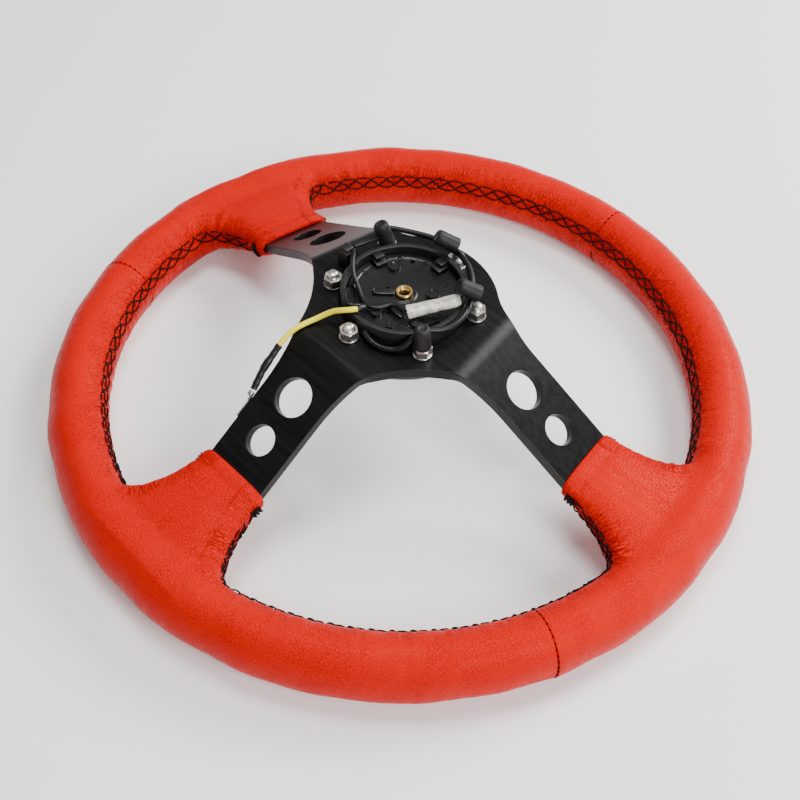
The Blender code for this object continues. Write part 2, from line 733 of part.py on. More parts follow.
def make_nuts(material):
    """Hexagon nuts: six flats outside, a round bore inside."""
    low = HUB_BACK + WASHER_THICK + 2 * GAP
    corner = NUT_FLATS / math.cos(math.radians(30.0))
    bore = BOLT_HOLE / math.cos(math.radians(30.0))
    profile = [(bore, low), (corner, low), (corner, low + NUT_THICK), (bore, low + NUT_THICK)]
    for number, degrees in enumerate(BOLT_ANGLES, 1):
        turn = Matrix.Rotation(math.radians(NUT_TURN * number), 4, "Z")
        place = Matrix.Translation(polar(BOLT_CIRCLE, degrees)) @ turn
        turned("hub_nut_%d" % number, profile, 6, material, place=place)


# Rubber caps: the middle of each cap's foot and the way it points
CAPS = {
    "screw_cap_upper_left": (polar(BOLT_CIRCLE, 150.0, HUB_BACK + 0.0060), (-0.05, -0.03, 1.0)),
    "screw_cap_lower_right": (polar(BOLT_CIRCLE, 330.0, HUB_BACK + 0.0060), (-0.03, -0.03, 1.0)),
    "screw_cap_top": (Vector((-0.0003, 0.0343, HUB_BACK + 0.0132)), (-0.62, -0.59, 0.51)),
    "screw_cap_right": (Vector((0.0300, 0.0184, HUB_BACK + 0.0143)), (-0.59, -0.63, 0.51)),
}
CAP_LENGTH = 0.0095
CAP_OUTER = 0.0034


def make_cap(name, foot, direction, material):
    """Soft cap with a blind hole for a screw's end."""
    lean = Vector(direction).to_track_quat("Z", "Y").to_matrix().to_4x4()
    profile = [(0.0029, 0.0), (CAP_OUTER, 0.0), (CAP_OUTER, CAP_LENGTH - 0.0008)]
    profile += [(CAP_OUTER - 0.0008, CAP_LENGTH), (0.0, CAP_LENGTH)]
    profile = [(0.0, 0.0040), (0.0029, 0.0040)] + profile
    return turned(name, profile, 12, material, False, Matrix.Translation(foot) @ lean)


def make_connector(material):
    """Small moulded block on the plate that the horn wires leave from."""
    bm = bmesh.new()
    place = Matrix.Rotation(math.radians(185.0), 4, "Z") @ Matrix.Translation((0.0366, 0.0, 0.0))
    box(bm, (-0.0032, -0.0030, HUB_BACK + GAP), (0.0032, 0.0030, HUB_BACK + 0.0115), place)
    return from_bmesh("wire_connector", bm, material)


def make_bridge(material):
    """Flat bar from the connector to the nearest capped screw."""
    bm = bmesh.new()
    start, end = polar(0.0352, 178.8), polar(0.0345, 157.6)
    along = end - start
    place = Matrix.Translation(start) @ along.to_track_quat("X", "Z").to_matrix().to_4x4()
    box(bm, (0.0, -0.0012, 0.0), (along.length, 0.0012, 0.0016), place)
    bmesh.ops.translate(bm, verts=bm.verts[:], vec=(0.0, 0.0, HUB_BACK + 0.0094))
    return from_bmesh("terminal_bridge", bm, material)


HORN_WIRE = 0.0028
HORN_WIRE_ROUTE = (
    polar(0.0398, 157.0, HUB_BACK + 0.0088),
    polar(0.0404, 150.0, HUB_BACK + 0.0096),
    polar(0.0388, 139.0, HUB_BACK + 0.0100),
    polar(0.0374, 126.0, HUB_BACK + 0.0100),
    polar(0.0380, 113.0, HUB_BACK + 0.0098),
    polar(0.0392, 101.0, HUB_BACK + 0.0097),
    polar(0.0396, 90.0, HUB_BACK + 0.0097),
    polar(0.0382, 78.0, HUB_BACK + 0.0099),
    polar(0.0354, 66.0, HUB_BACK + 0.0103),
    polar(0.0330, 54.0, HUB_BACK + 0.0107),
    polar(0.0313, 42.0, HUB_BACK + 0.0108),
    polar(0.0307, 30.0, HUB_BACK + 0.0108),
    polar(0.0315, 18.0, HUB_BACK + 0.0108),
    polar(0.0330, 5.0, HUB_BACK + 0.0106),
    polar(0.0334, 353.0, HUB_BACK + 0.0106),
    polar(0.0318, 342.0, HUB_BACK + 0.0108),
    polar(0.0293, 331.0, HUB_BACK + 0.0110),
    polar(0.0322, 319.0, HUB_BACK + 0.0096),
    polar(0.0341, 310.0, HUB_BACK + 0.0052),
    polar(0.0346, 301.0, HUB_BACK + 0.0024),
    polar(0.0344, 292.0, HUB_BACK + 0.0022),
    polar(0.0336, 285.0, HUB_BACK + 0.0032),
    polar(0.0322, 280.4, HUB_BACK + 0.0048),
)

# The black lead leaves the connector, drops on to the horn's body and ends in the sleeve
BLACK_LEAD = 0.0024
BLACK_LEAD_ROUTE = (
    (-0.0323, -0.0029, HUB_BACK + 0.0107),
    (-0.0308, -0.0038, HUB_BACK + 0.0108),
    (-0.0278, -0.0072, HUB_BACK + 0.0108),
    (-0.0222, -0.0119, HUB_BACK + 0.0096),
    (-0.0156, -0.0150, HUB_BACK + 0.0080),
    (-0.0096, -0.0180, HUB_BACK + 0.0070),
    (-0.0052, -0.0193, HUB_BACK + 0.0068),
    (-0.0016, -0.0184, HUB_BACK + 0.0068),
    (0.0006, -0.0154, HUB_BACK + 0.0068),
    (0.0022, -0.0120, HUB_BACK + 0.0070),
    (0.0050, -0.0100, HUB_BACK + 0.0074),
    (0.0084, -0.0102, HUB_BACK + 0.0078),
    (0.0112, -0.0103, HUB_BACK + 0.0081),
)
SLEEVE_ENDS = ((0.0121, -0.0098, HUB_BACK + 0.0083), (0.0252, 0.0114, HUB_BACK + 0.0119))

# The yellow lead leaves the splice and runs down the edge of the bottom spoke
YELLOW_LEAD = 0.0026
YELLOW_LEAD_ROUTE = (
    (-0.0030, -0.0270, HUB_BACK + 0.0109),
    (-0.0047, -0.0298, HUB_BACK + 0.0111),
    (-0.0074, -0.0320, HUB_BACK + 0.0102),
    (-0.0116, -0.0338, HUB_BACK + 0.0076),
    (-0.0150, -0.0366, HUB_BACK + 0.0046),
    (-0.0173, -0.0405, HUB_BACK + 0.0026),
    (-0.0189, -0.0450, HUB_BACK + 0.0018),
    (-0.0203, -0.0500, HUB_BACK + 0.0006),
    (-0.0211, -0.0548, HUB_BACK - 0.0018),
    (-0.0212, -0.0590, HUB_BACK - 0.0045),
)


def make_splice(material):
    """Shrunk tube where the yellow and the black lead meet."""
    start, end = Vector((-0.0022, -0.0225, HUB_BACK + 0.0096)), Vector(YELLOW_LEAD_ROUTE[0])
    along = (end - start).normalized()
    bm = bmesh.new()
    cylinder(bm, 0.0018, start, end - along * 3 * GAP, 10)
    return from_bmesh("lead_splice", bm, material)


def make_clear_sleeve(material):
    """Soft flat tube pushed over the black lead's terminal."""
    start, end = (Vector(point) for point in SLEEVE_ENDS)
    along = (end - start).normalized()
    sideways = Vector((0.0, 0.0, 1.0)).cross(along).normalized()
    upward = along.cross(sideways)
    bm = bmesh.new()
    loops = []
    outer, inner = (0.0037, 0.0024), (0.0029, 0.0016)
    stations = ((start, outer), (end, outer), (end, inner), (start, inner))
    for centre, (half_width, half_height) in stations:
        ring = []
        for index in range(12):
            angle = 2 * math.pi * index / 12
            offset = sideways * half_width * math.cos(angle) + upward * half_height * math.sin(angle)
            ring.append(bm.verts.new(centre + offset))
        loops.append(ring)
    for ring, after in zip(loops, loops[1:] + loops[:1]):
        for index in range(12):
            beyond = (index + 1) % 12
            bm.faces.new((ring[index], ring[beyond], after[beyond], after[index]))
    return from_bmesh("clear_sleeve", bm, material)


def make_blade(material):
    """Flat crimped terminal inside the clear sleeve."""
    start, end = (Vector(point) for point in SLEEVE_ENDS)
    along = (end - start).normalized()
    place = Matrix.Translation(start) @ along.to_track_quat("X", "Z").to_matrix().to_4x4()
    bm = bmesh.new()
    box(bm, (0.0035, -0.0020, -0.0005), (0.0220, 0.0020, 0.0005), place)
    return from_bmesh("lead_terminal", bm, material)


def on_arm(degrees, u, across, lift):
    """A point above an arm's back face."""
    return arm_frame(degrees, u) @ Vector((0.0, across, lift))


def make_shrink(material):
    """Black heat shrink between the yellow lead and its spade."""
    start = Vector(YELLOW_LEAD_ROUTE[-1])
    end = on_arm(SPOKES["bottom"], 0.0775, -0.0199, 0.0030)
    along = (end - start).normalized()
    bm = bmesh.new()
    cylinder(bm, 0.0020, start + along * GAP, end, 10)
    return from_bmesh("heat_shrink", bm, material)


def make_spade(material):
    """Spade terminal standing beside the left edge of the bottom spoke."""
    bm = bmesh.new()
    place = arm_frame(SPOKES["bottom"], 0.0840)
    box(bm, (-0.0056, -0.0186, -0.0040), (0.0060, -0.0179, 0.0003), place)
    return from_bmesh("spade_terminal", bm, material)


def build():
    clear_scene()
    black_metal = finish("black_anodised_aluminium", (0.020, 0.020, 0.021), 0.38, 0.8)
    bare_metal = finish("bare_aluminium", (0.62, 0.62, 0.63), 0.40, 1.0)
    zinc = finish("bright_zinc", (0.66, 0.66, 0.67), 0.28, 1.0)
    foam = finish("rim_foam", (0.05, 0.05, 0.05), 0.90)
    leather = finish("red_leather", (0.76, 0.045, 0.020), 0.52)
    thread = finish("black_thread", (0.015, 0.013, 0.013), 0.75)
    plastic = finish("black_plastic", (0.022, 0.022, 0.024), 0.42)
    rubber = finish("black_rubber", (0.020, 0.021, 0.022), 0.60)
    brass = finish("brass", (0.80, 0.58, 0.22), 0.25, 1.0)
    spring_steel = finish("spring_steel", (0.50, 0.50, 0.52), 0.30, 1.0)
    black_wire = finish("black_wire", (0.018, 0.018, 0.019), 0.50)
    yellow_wire = finish("yellow_wire", (0.85, 0.78, 0.02), 0.42)
    clear_vinyl = finish("clear_vinyl", (0.80, 0.79, 0.74), 0.25)

    make_spoke_plate(black_metal)
    make_rim_core(bare_metal)
    make_rivets(bare_metal)
    make_foam(foam)
    make_cover("leather_right", SPOKES["right"], SEAMS[2] - 360.0, SEAMS[0], leather)
    make_cover("leather_left", SPOKES["left"], SEAMS[0], SEAMS[1], leather)
    make_cover("leather_bottom", SPOKES["bottom"], SEAMS[1], SEAMS[2], leather)
    for name, (start, end) in LACINGS.items():
        make_lacing(name, start, end, thread)

    make_trim_ring(black_metal)
    make_sleeve(plastic)
    make_horn_body(plastic)
    make_horn_cap(plastic)
    make_moving_contact(brass)
    make_insert(brass)
    make_springs(spring_steel)
    make_clip("snap_clip_upper_left", 166.0, plastic)
    make_clip("snap_clip_top", 92.0, plastic)
    make_contact_strip(spring_steel)

    make_screws(zinc)
    make_washers(zinc)
    make_nuts(zinc)
    for name, (foot, direction) in CAPS.items():
        make_cap(name, foot, direction, rubber)

    make_connector(plastic)
    make_bridge(plastic)
    tube("horn_wire", HORN_WIRE_ROUTE, HORN_WIRE, 0.0050, black_wire)
    tube("black_lead", BLACK_LEAD_ROUTE, BLACK_LEAD, 0.0045, black_wire)
    tube("yellow_lead", YELLOW_LEAD_ROUTE, YELLOW_LEAD, 0.0045, yellow_wire)
    make_splice(rubber)
    make_clear_sleeve(clear_vinyl)
    make_blade(zinc)
    make_shrink(rubber)
    make_spade(zinc)


build()
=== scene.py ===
import math

import bmesh
import bpy
import numpy as np
from mathutils import Matrix, Vector, kdtree
from mathutils.geometry import interpolate_bezier


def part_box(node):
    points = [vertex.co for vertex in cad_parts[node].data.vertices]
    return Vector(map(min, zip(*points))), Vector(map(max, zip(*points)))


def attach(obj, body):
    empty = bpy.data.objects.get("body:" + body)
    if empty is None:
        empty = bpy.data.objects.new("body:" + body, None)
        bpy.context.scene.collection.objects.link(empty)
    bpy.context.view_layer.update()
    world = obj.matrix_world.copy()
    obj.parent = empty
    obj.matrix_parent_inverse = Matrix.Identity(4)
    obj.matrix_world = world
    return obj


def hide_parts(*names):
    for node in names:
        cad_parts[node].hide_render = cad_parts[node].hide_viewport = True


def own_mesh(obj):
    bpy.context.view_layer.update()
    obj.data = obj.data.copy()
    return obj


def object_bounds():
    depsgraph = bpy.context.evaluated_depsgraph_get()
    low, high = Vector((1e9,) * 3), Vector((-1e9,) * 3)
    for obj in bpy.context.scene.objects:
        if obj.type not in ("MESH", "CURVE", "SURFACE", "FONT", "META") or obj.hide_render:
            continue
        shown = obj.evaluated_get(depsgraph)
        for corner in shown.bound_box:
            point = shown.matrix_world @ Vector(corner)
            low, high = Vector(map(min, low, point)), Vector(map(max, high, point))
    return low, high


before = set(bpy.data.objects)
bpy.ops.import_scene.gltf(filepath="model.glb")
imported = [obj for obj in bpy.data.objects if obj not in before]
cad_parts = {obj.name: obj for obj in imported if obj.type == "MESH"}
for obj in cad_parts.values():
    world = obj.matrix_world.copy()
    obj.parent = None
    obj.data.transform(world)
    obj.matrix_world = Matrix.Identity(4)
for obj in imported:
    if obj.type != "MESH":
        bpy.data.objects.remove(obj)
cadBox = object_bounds()
print("frame loaded:", len(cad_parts), "parts")

# The wheel lies on its face: +Z is the column side, +Y is twelve o'clock. Lengths are in metres.
wheel = {
    "halfWidth": 0.0145,        # of the rim's section
    "halfHeight": 0.0165,
    "leather": 0.0026,          # its thickness, with the glue
    "spokes": {"right": 10.0, "left": 170.0, "bottom": 270.0},
    "seams": (90.0, 202.0, 339.0),
    "play": 0.0003,
}
rimRadius = cadBox[1].x - wheel["halfWidth"]
rimMiddle = wheel["halfHeight"]
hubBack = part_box("spoke_plate")[1].z
spokeAngles = list(wheel["spokes"].values())
play = wheel["play"]


def polar(radius, degrees, height=0.0):
    angle = math.radians(degrees)
    return Vector((radius * math.cos(angle), radius * math.sin(angle), height))


def rimPoint(turn, angle, inset=0.0):
    # On the rim's oval section: turn in degrees round the wheel, angle in radians round the section
    radius = rimRadius + (wheel["halfWidth"] - inset) * math.cos(angle)
    return polar(radius, turn, rimMiddle + (wheel["halfHeight"] - inset) * math.sin(angle))


def linked(name, data):
    item = bpy.data.objects.new(name, data)
    bpy.context.scene.collection.objects.link(item)
    return item


# Camera, lights and floor
camera = {
    "target": (0.0074, -0.0079, 0.0165),
    "azimuth": 45.0,
    "elevation": 49.96,
    "roll": 1.873,
    "distance": 0.6651,
    "lens": 59.8,
}
studio = {
    "floorColour": (0.90, 0.90, 0.90),
    "floorGlow": 0.10,
    "world": 0.34,
    "lamps": (
        # name, place, size, power, colour
        ("behind", (0.15, 1.05, 0.95), 0.75, 26.0, (1.0, 0.99, 0.98)),
        ("rightFront", (1.05, -0.15, 0.80), 0.60, 16.0, (1.0, 0.99, 0.97)),
        ("overhead", (-0.10, 0.05, 1.25), 0.50, 10.0, (1.0, 1.0, 0.99)),
    ),
}


def makeCamera():
    around, up = math.radians(camera["azimuth"]), math.radians(camera["elevation"])
    back = Vector((math.sin(around) * math.cos(up), -math.cos(around) * math.cos(up), math.sin(up)))
    data = bpy.data.cameras.new("mainCamera")
    data.lens = camera["lens"]
    data.clip_start = 0.01
    item = linked("mainCamera", data)
    item.rotation_mode = "QUATERNION"
    item.location = Vector(camera["target"]) + back * camera["distance"]
    level = (-back).to_track_quat("-Z", "Y")
    roll = Matrix.Rotation(math.radians(camera["roll"]), 3, "Z").to_quaternion()
    item.rotation_quaternion = level @ roll
    bpy.context.scene.camera = item


makeCamera()


class Value:
    # A socket that sums, products and differences can be written with
    def __init__(self, graph, socket):
        self.graph, self.socket = graph, socket

    def math(self, operation, *others):
        inputs = dict(enumerate((self, *others)))
        return self.graph.add("ShaderNodeMath", {"operation": operation}, inputs)

    def __add__(self, other):
        return self.math("ADD", other)

    __radd__ = __add__

    def __sub__(self, other):
        return self.math("SUBTRACT", other)

    def __rsub__(self, other):
        return self.graph.add("ShaderNodeMath", {"operation": "SUBTRACT"}, {0: other, 1: self})

    def __mul__(self, other):
        return self.math("MULTIPLY", other)

    __rmul__ = __mul__

    def __truediv__(self, other):
        return self.math("DIVIDE", other)

    def ramp(self, low, high, first=0.0, last=1.0):
        return self.graph.add(
            "ShaderNodeMapRange", {"interpolation_type": "SMOOTHSTEP"},
            {"Value": self, "From Min": low, "From Max": high, "To Min": first, "To Max": last})


class Graph:
    # One method adds any node: its type, its settings, its sockets' values or links
    def __init__(self, tree):
        self.tree = tree

    def add(self, kind, settings=None, inputs=None, out=0):
        node = self.tree.nodes.new(kind)
        for name, value in (settings or {}).items():
            setattr(node, name, value)
        for key, value in (inputs or {}).items():
            self.plug(node.inputs[key], value)
        return Value(self, node.outputs[out])

    def plug(self, socket, value):
        if isinstance(value, Value):
            self.tree.links.new(value.socket, socket)
        else:
            socket.default_value = value

    def mixColour(self, share, first, second, blend="MIX"):
        node = self.add("ShaderNodeMix", {"data_type": "RGBA", "blend_type": blend}, {0: share})
        made = node.socket.node
        for socket, value in ((made.inputs[6], first), (made.inputs[7], second)):
            self.plug(socket, value if isinstance(value, Value) else (*value, 1.0))
        return Value(self, made.outputs[2])

    def noise(self, place, scale, detail=2.0, roughness=0.5, distortion=0.0):
        sockets = {"Vector": place, "Scale": scale, "Detail": detail, "Roughness": roughness}
        return self.add("ShaderNodeTexNoise", None, {**sockets, "Distortion": distortion})

    def scaled(self, place, factors, turn=0.0):
        sockets = {"Vector": place, "Scale": factors, "Rotation": (0.0, 0.0, math.radians(turn))}
        return self.add("ShaderNodeMapping", None, sockets)

    def bump(self, height, distance, strength=1.0, normal=None):
        sockets = {"Height": height, "Distance": distance, "Strength": strength}
        if normal:
            sockets["Normal"] = normal
        return self.add("ShaderNodeBump", None, sockets)


def newMaterial(name, constants):
    material = bpy.data.materials.new(name)
    material.use_nodes = True
    graph = Graph(material.node_tree)
    shader = material.node_tree.nodes["Principled BSDF"]
    for key, value in constants.items():
        shader.inputs[key].default_value = (*value, 1.0) if isinstance(value, tuple) else value
    return material, graph, shader


def objectPlace(graph):
    return graph.add("ShaderNodeTexCoord", out="Object")


def vary(graph, shader, colour, roughness, normal):
    for name, value in (("Base Color", colour), ("Roughness", roughness), ("Normal", normal)):
        graph.plug(shader.inputs[name], value)


leatherLook = {
    "red": (0.56, 0.0026, 0.0005),
    "paintedGapShade": (0.15, 0.0005, 0.0002),
    "paleRed": (0.61, 0.0060, 0.0015),
    "sheen": (1.0, 0.38, 0.28),
    "roughness": 0.30,
    "warp": (0.0009, 0.0013),         # how far the pebbles and the creases wander
    "edgeWidth": (0.14, 0.15),        # of the gap between two pebbles, two creases
    "gapShade": (0.42, 0.44),         # painted shade in the gaps: everywhere, and added where the leather is pulled
    "grainSize": 0.0014,
    "grainDepth": 0.00013,
    "creaseSize": (0.0013, 0.0030),   # along and across the lacing
    "creaseDepth": 0.00042,
}


def makeLeather():
    constants = {"Specular IOR Level": 0.10, "Specular Tint": leatherLook["sheen"]}
    material, graph, shader = newMaterial("redLeather", constants)
    place = objectPlace(graph)
    lacePlace = graph.add("ShaderNodeAttribute", {"attribute_name": "lacePlace"}, out="Vector")
    pull = graph.add("ShaderNodeAttribute", {"attribute_name": "pull"}, out="Fac")
    drift = graph.noise(place, 420.0, 3.0)
    sockets = {"Vector": place, "Scale": 480.0, "Detail": 2.0}
    warp = graph.add("ShaderNodeTexNoise", None, sockets, out="Color")

    def warped(base, amount):
        inputs = {0: warp, 1: (amount, amount, amount), 2: base}
        return graph.add("ShaderNodeVectorMath", {"operation": "MULTIPLY_ADD"}, inputs)

    # Pebbles everywhere; near the lacing they are drawn out into creases across it
    grainWarp, creaseWarp = leatherLook["warp"]
    grain = graph.add("ShaderNodeTexVoronoi", {"feature": "DISTANCE_TO_EDGE"}, {
        "Vector": warped(place, grainWarp), "Scale": 1 / leatherLook["grainSize"]})
    shortest, longest = leatherLook["creaseSize"]
    stretched = graph.scaled(warped(lacePlace, creaseWarp), (1 / shortest, 1 / longest, 1.0))
    drawn = graph.add(
        "ShaderNodeTexVoronoi", {"feature": "DISTANCE_TO_EDGE"},
        {"Vector": stretched, "Scale": 1.0})
    pebbleEdge, creaseEdge = leatherLook["edgeWidth"]
    pebbles, creases = grain.ramp(0.0, pebbleEdge), drawn.ramp(0.0, creaseEdge)
    fine = graph.noise(place, 2600.0, 2.0)
    broad = graph.noise(place, 38.0, 2.0)
    patches = graph.noise(place, 95.0, 2.0).ramp(0.35, 0.68)
    strain = pull * (0.35 + patches * 0.65)
    # The gaps between the pebbles and the creases take the deeper red: painted shade
    gaps = (1.0 - pebbles) * (1.0 - strain) * (0.55 + patches * 0.45) + (1.0 - creases) * strain
    everywhere, pulled = leatherLook["gapShade"]
    shade = graph.mixColour(
        gaps * (everywhere + pull * pulled), leatherLook["red"], leatherLook["paintedGapShade"])
    shade = graph.mixColour(broad.ramp(0.40, 0.75, 0.0, 0.35), shade, leatherLook["paleRed"])
    bumped = graph.bump(pebbles * (1.0 - strain * 0.6) + fine * 0.12, leatherLook["grainDepth"])
    folded = graph.bump(creases * strain, leatherLook["creaseDepth"], 1.0, bumped)
    vary(graph, shader, shade, leatherLook["roughness"] + gaps * 0.20 + drift * 0.10, folded)
    return material


plateLook = {"black": (0.0035, 0.0035, 0.0037), "worn": (0.014, 0.014, 0.0145), "brushAngle": -20.0}


def makeAnodised(name="blackAnodised", turn=plateLook["brushAngle"]):
    material, graph, shader = newMaterial(name, {"Metallic": 0.55, "Specular IOR Level": 0.30})
    place = objectPlace(graph)
    streaks = graph.noise(graph.scaled(place, (60.0, 2600.0, 2600.0), turn), 1.0, 3.0, 0.6)
    coarse = graph.noise(graph.scaled(place, (14.0, 420.0, 420.0), turn), 1.0, 2.0)
    handled = graph.noise(place, 55.0, 4.0)
    mixed = streaks * 0.6 + coarse * 0.4
    shade = graph.mixColour(mixed.ramp(0.35, 0.7), plateLook["black"], plateLook["worn"])
    roughness = 0.24 + mixed * 0.20 + handled * 0.06
    vary(graph, shader, shade, roughness, graph.bump(mixed, 0.00003, 0.8))
    return material


def makeMetal(name, colour, dark, roughness, scale=900.0):
    material, graph, shader = newMaterial(name, {"Metallic": 1.0})
    place = objectPlace(graph)
    clouds = graph.noise(place, scale * 0.25, 4.0)
    marks = graph.noise(graph.scaled(place, (1.0, 1.0, 3.0)), scale, 3.0, 0.6)
    shade = graph.mixColour(clouds.ramp(0.35, 0.75), colour, dark)
    roughness = roughness + clouds * 0.14 + marks * 0.10
    vary(graph, shader, shade, roughness, graph.bump(marks, 0.00004, 0.5))
    return material


def makePlastic(name, colour, roughness, grain=1500.0, depth=0.00004, specular=0.5):
    # Moulded plastic or rubber: a fine spark-eroded grain with slight dust
    material, graph, shader = newMaterial(name, {"Specular IOR Level": specular})
    place = objectPlace(graph)
    fine = graph.noise(place, grain, 3.0, 0.6)
    dust = graph.noise(place, 130.0, 5.0, 0.65)
    pale = tuple(channel * 1.9 + 0.004 for channel in colour)
    shade = graph.mixColour(dust.ramp(0.45, 0.85, 0.0, 0.6), colour, pale)
    vary(graph, shader, shade, roughness + fine * 0.12 + dust * 0.10, graph.bump(fine, depth, 0.7))
    return material


def makeThread():
    material, graph, shader = newMaterial("blackThread", {"Specular IOR Level": 0.12})
    place = objectPlace(graph)
    sockets = {"Vector": place, "Scale": 700.0, "Distortion": 2.0, "Detail": 1.0}
    plies = graph.add("ShaderNodeTexWave", {"bands_direction": "DIAGONAL"}, sockets, out="Fac")
    shade = graph.mixColour(plies, (0.0015, 0.0014, 0.0014), (0.0060, 0.0052, 0.0052))
    vary(graph, shader, shade, 0.62 + plies * 0.2, graph.bump(plies, 0.0001, 0.8))
    return material


def makeFoamFinish():
    material, graph, shader = newMaterial("rimFoam", {"Specular IOR Level": 0.2})
    place = objectPlace(graph)
    cells = graph.add(
        "ShaderNodeTexVoronoi", None, {"Vector": place, "Scale": 1600.0}, out="Distance")
    shade = graph.mixColour(cells, (0.035, 0.035, 0.036), (0.085, 0.085, 0.086))
    vary(graph, shader, shade, 0.80 + cells * 0.15, graph.bump(cells, 0.0002, 0.8))
    return material


def makeClearVinyl():
    constants = {"IOR": 1.42, "Transmission Weight": 0.45, "Specular IOR Level": 0.8}
    material, graph, shader = newMaterial("clearVinyl", constants)
    place = objectPlace(graph)
    haze = graph.noise(place, 260.0, 3.0)
    flow = graph.noise(graph.scaled(place, (200.0, 200.0, 900.0)), 1.0, 2.0)
    shade = graph.mixColour(haze, (0.90, 0.87, 0.76), (0.99, 0.975, 0.92))
    graph.plug(shader.inputs["Alpha"], haze.ramp(0.38, 0.62, 0.42, 0.92))
    vary(graph, shader, shade, 0.10 + haze * 0.18, graph.bump(flow, 0.00003, 0.6))
    return material


def makeCordFinish(name, colour, pale, roughness):
    # Extruded insulation, finely uneven and with a little grime
    material, graph, shader = newMaterial(name, {"Specular IOR Level": 0.35})
    place = objectPlace(graph)
    grime = graph.noise(place, 240.0, 4.0, 0.6)
    fine = graph.noise(place, 1900.0, 2.0)
    shade = graph.mixColour(grime.ramp(0.4, 0.8), colour, pale)
    vary(graph, shader, shade, roughness + fine * 0.14, graph.bump(fine, 0.00003, 0.6))
    return material


def makeFloorFinish():
    return newMaterial("studioFloor", {
        "Base Color": studio["floorColour"], "Roughness": 0.9, "Specular IOR Level": 0.1,
        "Emission Color": (1.0, 1.0, 1.0), "Emission Strength": studio["floorGlow"]})[0]


print("finishes")
leather = makeLeather()
anodised = makeAnodised()
turnedBlack = makeAnodised("blackTurned", 30.0)
# Lighter metal on the plate's chamfers: bare metal, and a painted highlight along the edges
bareEdgeAndHighlight = makeMetal("plateEdge", (0.10, 0.10, 0.105), (0.05, 0.05, 0.052), 0.22)
zinc = makeMetal("brightZinc", (0.74, 0.73, 0.70), (0.50, 0.49, 0.46), 0.20)
steel = makeMetal("springSteel", (0.52, 0.52, 0.54), (0.36, 0.36, 0.38), 0.24)
aluminium = makeMetal("bareAluminium", (0.66, 0.66, 0.67), (0.50, 0.50, 0.52), 0.34, 500.0)
# Darker brass: the moving contact's colour, and painted shade down the insert's bore
darkBrassAndBoreShade = makeMetal("darkBrassAndBoreShade", (0.16, 0.10, 0.035), (0.08, 0.05, 0.02), 0.45)
brass = makeMetal("brass", (0.82, 0.60, 0.24), (0.60, 0.40, 0.12), 0.18)
plastic = makePlastic("blackPlastic", (0.0045, 0.0045, 0.0048), 0.34, specular=0.40)
gloss = makePlastic("hornGloss", (0.0035, 0.0035, 0.0040), 0.18, 500.0, 0.000008, 0.60)
rubber = makePlastic("blackRubber", (0.0060, 0.0062, 0.0066), 0.42, 2200.0, 0.00003, 0.32)
shrinkTube = makePlastic("shrinkTube", (0.0040, 0.0040, 0.0042), 0.28, 700.0, 0.00010, 0.4)
thread = makeThread()
foam = makeFoamFinish()
clearVinyl = makeClearVinyl()
blackCord = makeCordFinish("blackCord", (0.0035, 0.0035, 0.0038), (0.0080, 0.0080, 0.0085), 0.30)
yellowCord = makeCordFinish("yellowCord", (0.88, 0.78, 0.010), (0.78, 0.70, 0.05), 0.30)


def addObject(name, data, material=None, sharp=32.0):
    item = linked(name, data)
    if material:
        data.materials.clear()
        data.materials.append(material)
    data.shade_smooth()
    data.set_sharp_from_angle(angle=math.radians(sharp))
    return item


def fromBmesh(name, bm, material=None, sharp=32.0):
    data = bpy.data.meshes.new(name)
    bm.to_mesh(data)
    bm.free()
    return addObject(name, data, material, sharp)


def baked(item, sharp=None):
    # The object's modifiers turned into its mesh
    bpy.context.view_layer.update()
    graph = bpy.context.evaluated_depsgraph_get()
    data = bpy.data.meshes.new_from_object(
        item.evaluated_get(graph), preserve_all_data_layers=True, depsgraph=graph)
    item.modifiers.clear()
    item.data = data
    if sharp:
        data.shade_smooth()
        data.set_sharp_from_angle(angle=math.radians(sharp))
    return item


def finishPiece(item, slot, *nodes, body="wheel"):
    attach(item, body)
    if nodes:
        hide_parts(*nodes)
    return item


def cut(target, tools, operation="DIFFERENCE"):
    for tool in tools:
        modifier = target.modifiers.new("cut", "BOOLEAN")
        modifier.object, modifier.operation, modifier.solver = tool, operation, "EXACT"
    baked(target, 32.0)
    for tool in tools:
        bpy.data.objects.remove(tool, do_unlink=True)
    return target


def rounded(profile, radius, closed=True):
    # Replaces each corner of a (radius, height) profile with a small arc
    made = []
    count = len(profile)
    for index, corner in enumerate(profile):
        if not closed and index in (0, count - 1):
            made.append(corner)
            continue
        here = Vector(corner)
        before, after = Vector(profile[index - 1]), Vector(profile[(index + 1) % count])
        back, ahead = before - here, after - here
        reach = min(radius, back.length * 0.4, ahead.length * 0.4)
        start, end = here + back.normalized() * reach, here + ahead.normalized() * reach
        for share in (0.0, 0.33, 0.67, 1.0):
            middle = start.lerp(here, share).lerp(here.lerp(end, share), share)
            made.append((middle.x, middle.y))
    return made


def turned(name, profile, sides, material, closed=True, place=None, sharp=32.0):
    # Turns a profile of (radius, height) points about Z; a radius of 0 closes on the axis
    place = place or Matrix.Identity(4)
    bm = bmesh.new()
    rings = []
    for radius, height in profile:
        turns = 1 if radius < 1e-9 else sides
        circle = [polar(radius, 360.0 * step / sides, height) for step in range(turns)]
        rings.append([bm.verts.new(place @ point) for point in circle])
    pairs = list(zip(rings, rings[1:])) + ([(rings[-1], rings[0])] if closed else [])
    for lower, upper in pairs:
        for step in range(sides):
            after = (step + 1) % sides
            corners = [lower[step % len(lower)], lower[after % len(lower)]]
            corners += [upper[after % len(upper)], upper[step % len(upper)]]
            corners = list(dict.fromkeys(corners))
            if len(corners) > 2:
                bm.faces.new(corners)
    bmesh.ops.recalc_face_normals(bm, faces=bm.faces[:])
    return fromBmesh(name, bm, material, sharp)


